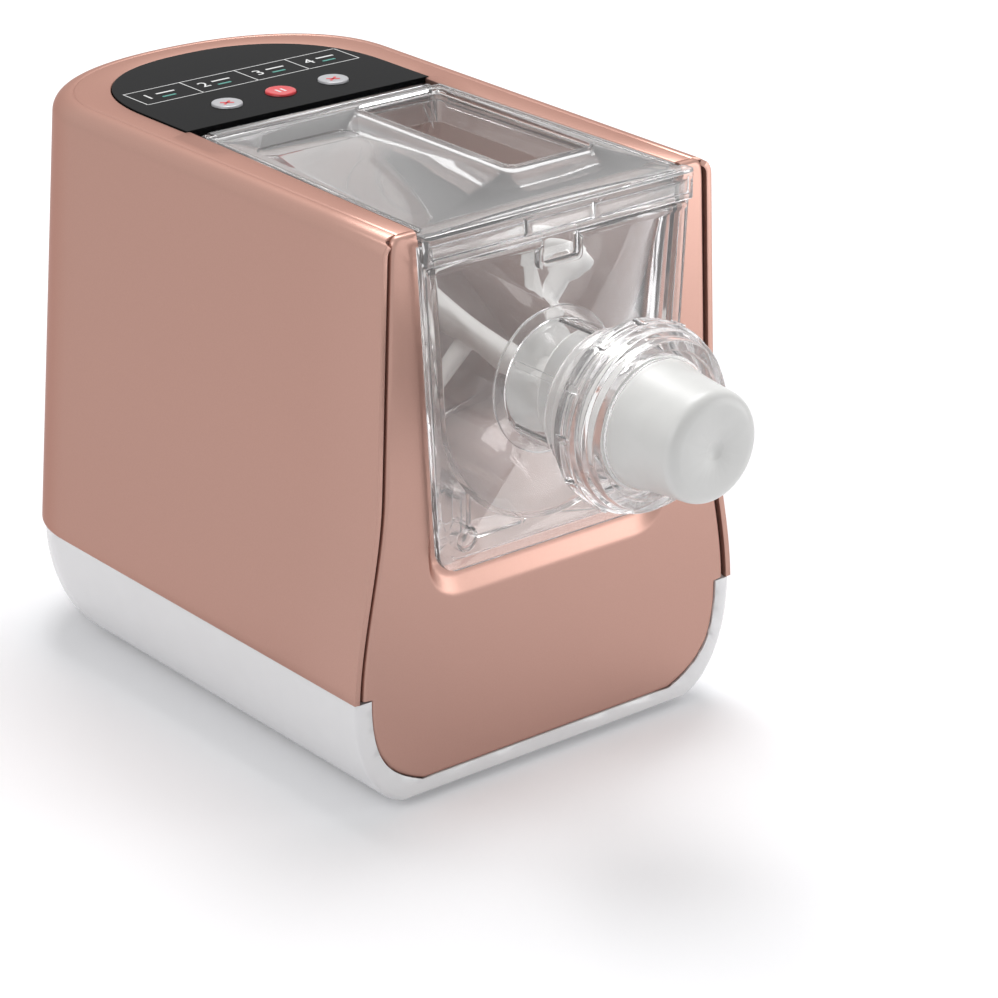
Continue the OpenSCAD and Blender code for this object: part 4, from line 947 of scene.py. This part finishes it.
def trough_solid(bm, inset, near, far, top):
    loft_into(bm, [[at(x, FRONT + y, z) for x, z in trough_line(half, inset, top)]
                   for half, y in ((BOWL_HALF, near), (BOWL_REAR_HALF, far))])
    # The upper sides are a little twisted, so they are cut into flat triangles
    bmesh.ops.triangulate(bm, faces=bm.faces)


def plate_line(inset):
    r = PLATE_R - inset
    side = [(PLATE_LOW_HALF - inset - r * (1 - math.cos(math.radians(a))),
             PLATE_LOW_Z + inset + r * (1 + math.sin(math.radians(a)))) for a in range(-90, 1, 10)]
    side.append((PLATE_HALF - inset, RIM_Z))
    return side + [(-x, z) for x, z in reversed(side)]


def field_line():
    """The field inside the raised border, which ends below the bead."""
    return [(x, FIELD_TOP if z == RIM_Z else z) for x, z in plate_line(6)]


bowl = solid_piece("clear_bowl", trough_solid, clear, "bowl", "clear_plastic", ["mixing_bowl"],
                   0, PLATE_BACK - 1.8, BOWL_REAR, RIM_Z)
combine(bowl, shape("plate", front_slab, plate_line(0), PLATE_FRONT, PLATE_BACK), "UNION")
combine(bowl, shape("field", front_slab, field_line(), PLATE_FRONT - 2, PLATE_FRONT + 1.1))
bm = bmesh.new()
for side in (1, -1):
    box_corners(bm, (side * 47.5 - 1.5, 8, BAY_FLOOR + SEAT), (side * 47.5 + 1.5, BOWL_REAR - 8, 151))
combine(bowl, cutter("runners", bm), "UNION")


def hinge_lug(bm, side):
    """A lug that rises from the rear wall to the rod."""
    radius = HINGE_R - 0.6
    turns = [math.radians(a) for a in range(-50, 181, 15)]
    arc = [(HINGE_Y + radius * math.cos(a), HINGE_Z + radius * math.sin(a)) for a in turns]
    arc += [(BOWL_REAR - 2.6, HINGE_Z - 5), (BOWL_REAR - 2.6, HINGE_Z - 18), (BOWL_REAR - 0.4, HINGE_Z - 18)]
    loft_into(bm, [[at(x, FRONT + y, z) for y, z in arc] for x in (side * LUG_X, side * (LUG_X + LUG_T))])


for side in (1, -1):
    middle = side * BOSS_X
    shelf = sorted((side * 20, middle + side * 2))
    for name, build, *values in (
            ("boss", rod_along, BOSS_R, PLATE_BACK - 0.7, 12, middle, BOSS_Z),
            ("boss_rib", box_corners, (middle - 0.8, PLATE_BACK - 1, BOSS_Z), (middle + 0.8, 11.3, 159)),
            ("boss_shelf", box_corners, (shelf[0], PLATE_BACK - 1.4, BOSS_Z - 0.9),
             (shelf[1], 10.6, BOSS_Z + 0.7)),
            ("lug", hinge_lug, side)):
        combine(bowl, shape(name, build, *values), "UNION")
for name, line, proud in (("bead", rounded_box(-78.5, 269.6, 78.5, 273, 1.2), 1.5),
                          ("tab", rounded_box(-13.5, 258.5, 13.5, 270.6, 3), 1.6)):
    combine(bowl, shape(name, front_slab, line, PLATE_FRONT - proud, PLATE_FRONT + 1.5), "UNION")
hollow = rounded_box(-10.5, 261.4, 10.5, 276, 2)
combine(bowl, shape("tab_hollow", front_slab, hollow, PLATE_FRONT - 3, PLATE_FRONT + 0.4))
combine(bowl, shape("hollow", trough_solid, BOWL_WALL, PLATE_BACK, BOWL_REAR - BOWL_REAR_WALL, RIM_Z + 1))
for name, radius, near, far, x, z in (("barrel_hole", BARREL_R + 0.05, -9, 3, 0, AXIS),
                                      ("seal_hole", SEAL_R + 0.05, 168, 178, 0, AXIS),
                                      ("left_boss_hole", BOSS_BORE, -2.5, 14, -BOSS_X, BOSS_Z),
                                      ("right_boss_hole", BOSS_BORE, -2.5, 14, BOSS_X, BOSS_Z)):
    combine(bowl, shape(name, rod_along, radius, near, far, x, z))
combine(bowl, shape("rod_hole", rod_across, ROD_R, -90, 90, HINGE_Y, HINGE_Z))
finish_clear(bowl, 0.5)

# ---- Lid ----
# A flat clear cover with a pour opening on the right. Its front edge is a channel with two
# ribs, a bead runs along its sides and rear, and a long shallow recess lies at the rear left.
LID_TOP = DECK - 0.5
LID_LOW = LID_TOP - 2.5
LID_FRONT = -8.4
FLANGE_LOW = LID_TOP - 15
POUR = (14, 48, 66, 170)


def lid_half(y):
    return blend(BAY_HALF, BAY_REAR_HALF, max(0, y) / BAY_LENGTH) - 1


def lid_line(inset, near, far):
    side = [(lid_half(y) - inset, FRONT + y) for y in (near, far)]
    return side + [(-x, y) for x, y in reversed(side)]


def pour_line(grow):
    x0, y0, x1, y1 = POUR
    return in_plan(rounded_box(x0 - grow, y0 - grow, x1 + grow, y1 + grow, 5 + grow))


def front_arc(near, far, rise):
    """A narrow band in plan that bows to the rear in the middle."""
    def line(y):
        return [(x * 10.0 - 70, FRONT + y + rise * math.sin(math.pi * x / 14)) for x in range(15)]
    return line(near) + list(reversed(line(far)))


lid = solid_piece("clear_lid", plan_slab, clear, "lid_body", "clear_plastic", ["lid"],
                  lid_line(0, -1, HINGE_Y), LID_LOW, LID_TOP)
front_bar = in_plan(rounded_box(-PLATE_HALF, LID_FRONT, PLATE_HALF, LID_FRONT + 8.1, 2.5))
combine(lid, shape("front_bar", plan_slab, front_bar, FLANGE_LOW, LID_TOP), "UNION")
combine(lid, shape("bar_back", box_corners, (-90, PLATE_FRONT - 0.4, FLANGE_LOW - 1), (90, 5, LID_LOW)))
for x0, x1 in ((-78.2, -22.2), (-18.8, 18.8), (22.2, 78.2)):
    channel = rounded_box(x0, FLANGE_LOW + 3.2, x1, LID_TOP - 3.2, 1.4)
    combine(lid, shape("channel", front_slab, channel, LID_FRONT - 1, LID_FRONT + 1.7))
combine(lid, shape("skirt", plan_slab, lid_line(0, 6, 167), LID_LOW - 7, LID_LOW + 0.5), "UNION")
combine(lid, shape("skirt_inside", plan_slab, lid_line(1.3, 3, 170), LID_LOW - 8, LID_LOW))
combine(lid, shape("pour_lip", plan_slab, pour_line(1.8), LID_LOW - 14, LID_TOP + 0.8), "UNION")
combine(lid, shape("edge_bead", plan_slab, lid_line(0.2, 2, 176), LID_LOW + 1, LID_TOP + 0.6), "UNION")
combine(lid, shape("bead_inside", plan_slab, lid_line(2.2, 0.5, 173.5), LID_TOP, LID_TOP + 2))
combine(lid, shape("lip_again", plan_slab, pour_line(1.8), LID_TOP - 1, LID_TOP + 0.8), "UNION")
combine(lid, shape("front_band", plan_slab, front_arc(-6.4, -4.6, 4.5), LID_TOP - 1, LID_TOP + 0.7), "UNION")
combine(lid, shape("slot", plan_slab, in_plan(rounded_box(-66, 132, -9, 147, 7)), LID_TOP - 0.9, LID_TOP + 2))
combine(lid, shape("hinge", rod_across, HINGE_R, -LUG_X + SEAT, LUG_X - SEAT, HINGE_Y, HINGE_Z), "UNION")
combine(lid, shape("pour_hole", plan_slab, pour_line(0), LID_LOW - 20, LID_TOP + 5))
combine(lid, shape("rod_hole", rod_across, ROD_R, -90, 90, HINGE_Y, HINGE_Z))
for side in (1, -1):
    x0, x1 = sorted((side * (LUG_X - SEAT), side * 90))
    low, high = (x0, HINGE_Y - 5.8, LID_LOW - 9), (x1, HINGE_Y + 9, LID_TOP + 3)
    combine(lid, shape("notch", box_corners, low, high))
finish_clear(lid, 0.5)

# ---- Barrel, nut, cap and die ----
# The clear barrel passes through the front plate. The clear nut, with rings and grip ribs,
# holds the white polypropylene cap whose underside takes the strand die.
BARREL_END, BORE_R = -62, 27
NUT_BACK, NUT_FRONT, NUT_R, NUT_BORE, LIP_R = -38, -78, 46, 33.2, 31.2
CAP_FRONT, CAP_R = -115, 27.5
DIMPLE_R = 10


def round_off(profile, width=0.8, steps=4):
    """Rounds the corners of a profile, apart from its ends on the axis."""
    rounded = []
    for before, corner, after in zip(profile[-1:] + profile[:-1], profile, profile[1:] + profile[:1]):
        if corner[0] == 0:
            rounded.append(corner)
            continue
        ends = []
        for other in (before, after):
            length = math.hypot(other[0] - corner[0], other[1] - corner[1])
            reach = min(width, length * 0.45) / length
            ends.append((blend(corner[0], other[0], reach), blend(corner[1], other[1], reach)))
        for i in range(steps + 1):
            t = i / steps
            rounded.append(tuple((1 - t) ** 2 * a + 2 * t * (1 - t) * b + t * t * c
                                 for a, b, c in zip(ends[0], corner, ends[1])))
    return rounded


def add_ribs(piece, count, near, far, low, high):
    """Joins small ribs, evenly spread, on to a turned piece."""
    for i in range(count):
        bm = bmesh.new()
        plan_slab(bm, in_plan(rounded_box(-1.5, near, 1.5, far, 1.4)), low, high)
        turn = Matrix.Rotation(math.radians(360 / count * i), 3, "Y")
        bmesh.ops.rotate(bm, cent=at(0, 0, AXIS), matrix=turn, verts=bm.verts)
        combine(piece, cutter("rib", bm), "UNION")


barrel_profile = [(BORE_R, BARREL_END), (BARREL_R, BARREL_END), (BARREL_R, -59), (32.8, -58), (32.8, -56),
                  (BARREL_R, -55), (BARREL_R, -51), (32.8, -50), (32.8, -48), (BARREL_R, -47),
                  (BARREL_R, -1.1), (37, -1.1), (37, 1.8), (BORE_R, 1.8)]
barrel = solid_piece("clear_barrel", turned_into, clear, "bowl", "clear_plastic", ["extruder_barrel"],
                     round_off(barrel_profile, 0.6))
add_ribs(barrel, 6, -36.5, -6.5, AXIS + BARREL_R - 0.8, AXIS + BARREL_R + 1.6)
finish_clear(barrel, 0.35)

nut_profile = [(NUT_BORE, NUT_BACK), (36.2, NUT_BACK), (37.2, -41), (37.2, -46), (40.4, -47.6), (41, -49),
               (41, -53), (44.6, -54.6), (45.6, -56.2), (NUT_R, -59), (NUT_R, -61), (45, -62), (45, -64),
               (NUT_R, -65), (NUT_R, -67.6), (44, -69), (44, -73.4), (41.6, -74.4), (41, NUT_FRONT),
               (36, NUT_FRONT), (36, NUT_FRONT + 1.6), (LIP_R, NUT_FRONT + 1.6), (LIP_R, -72.5),
               (NUT_BORE, -72.5)]
nut = solid_piece("clear_ring_nut", turned_into, clear, "nut", "clear_plastic", ["ring_nut"],
                  round_off(nut_profile, 0.7))
add_ribs(nut, 12, -67, -58.2, AXIS + NUT_R - 2, AXIS + NUT_R + 1)
finish_clear(nut, 0.35)

cap_profile = [(0, CAP_FRONT), (21.5, CAP_FRONT), (24.2, -114.3), (26.2, -112.8), (27.2, -110.4),
               (CAP_R, -107), (28.1, -99), (28.9, -91), (29.8, -84), (30.9, -78), (30.9, -72.2),
               (32.8, -72.2), (32.8, -64.2), (BORE_R, -64.2), (BORE_R, -72.2), (24.1, -107), (21.5, -111),
               (0, -111)]
cap = solid_piece("white_die_cap", turned_into, food_white, "die", "white_food", ["die_cap"],
                  round_off(cap_profile, 1.2))
die_low, die_high = (Vector(corner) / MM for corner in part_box("strand_die"))
bm = bmesh.new()
box_into(bm, (die_low.x - 0.1, die_low.y - 0.1, AXIS - 40), (die_high.x + 0.1, die_high.y + 0.1, AXIS - 6))
combine(cap, cutter("die_seat", bm))
bm = bmesh.new()
dimple_place = Matrix.Translation(at(0, FRONT + CAP_FRONT - 8.5, AXIS))
bmesh.ops.create_uvsphere(bm, u_segments=48, v_segments=32, radius=DIMPLE_R * MM, matrix=dimple_place)
combine(cap, cutter("dimple", bm))
soften(cap, 0.4, 2, 40)
settle(cap)
keep_sharp(cap, 40)

bm = bmesh.new()
bm.from_mesh(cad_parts["strand_die"].data)
bmesh.ops.remove_doubles(bm, verts=bm.verts, dist=1e-6)
bmesh.ops.dissolve_limit(bm, angle_limit=math.radians(0.5), verts=bm.verts, edges=bm.edges)
strand_die = make_piece("white_strand_die", bm, food_white, "die", ["strand_die"], smooth=False)
soften(strand_die, 0.2, 2, 30)

# ---- Screw and paddle ----
# White polypropylene mouldings on the steel shaft: a one-start screw that pushes the dough
# forward, and a paddle with four arms, each ending in a curved blade.
SHAFT_R, HUB_R, FLIGHT_R = 5.05, 9, 26.4
SCREW_BACK, SCREW_FRONT, SCREW_PITCH = 12, -60, 24
PADDLE_HUB_R = 10


def screw_row(y):
    """The section across the shaft: a round hub with one flight, turned as it goes forward."""
    turn = math.tau * (SCREW_BACK - y) / SCREW_PITCH
    row = []
    for i in range(64):
        a = math.tau * i / 64
        away = abs((a + math.pi) % math.tau - math.pi) / math.radians(24)
        r = blend(FLIGHT_R, HUB_R, ease(max(0, away - 0.3) / 0.7))
        row.append(at(r * math.cos(turn + a), FRONT + y, AXIS + r * math.sin(turn + a)))
    return row


def screw_solid(bm):
    loft_into(bm, [screw_row(blend(SCREW_BACK, SCREW_FRONT, i / 108)) for i in range(109)])


screw = solid_piece("white_screw", screw_solid, food_white, "mixer", "white_food", ["extruder_screw"])
combine(screw, shape("screw_bore", rod_along, SHAFT_R, SCREW_FRONT + 3.9, SCREW_BACK + 2, 0, AXIS))
keep_sharp(screw, 50)

paddle_low, paddle_high = (Vector(corner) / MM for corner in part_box("mixing_paddle"))
PADDLE_BACK = paddle_high.y - FRONT
PADDLE_FRONT = paddle_low.y - FRONT
ARM_YS = [blend(PADDLE_FRONT + 14, PADDLE_BACK - 24, i / 3) for i in range(4)]
# Sections of an arm and its blade: height above the shaft's axis, half width, half depth
ARM_ROWS = ((0, 3.2, 7.5), (12, 3.2, 7.2), (30, 2.8, 6.2), (50, 2.8, 6.2), (54, 4.6, 12), (56.5, 5, 13.8),
            (59.5, 5, 14), (60.5, 4.2, 13))


def paddle_hub(bm):
    hub = [(0, PADDLE_FRONT), (PADDLE_HUB_R, PADDLE_FRONT), (PADDLE_HUB_R, PADDLE_BACK), (0, PADDLE_BACK)]
    turned_into(bm, round_off(hub, 1.5), 64)


def paddle_arm(bm, y, turn):
    turns = [math.tau * i / 32 for i in range(32)]
    loft_into(bm, [[at(wide * math.cos(a), FRONT + y + deep * math.sin(a), AXIS + z) for a in turns]
                   for z, wide, deep in ARM_ROWS])
    bmesh.ops.rotate(bm, cent=at(0, 0, AXIS), matrix=Matrix.Rotation(turn, 3, "Y"), verts=bm.verts)


paddle = solid_piece("white_paddle", paddle_hub, food_white, "mixer", "white_food", ["mixing_paddle"])
for i, y in enumerate(ARM_YS):
    combine(paddle, shape("arm", paddle_arm, y, math.radians(45 + 90 * i)), "UNION")
combine(paddle, shape("paddle_bore", rod_along, SHAFT_R, PADDLE_FRONT - 2, PADDLE_BACK + 2, 0, AXIS))
soften(paddle, 0.8, 2, 50)
settle(paddle)
keep_sharp(paddle, 50)
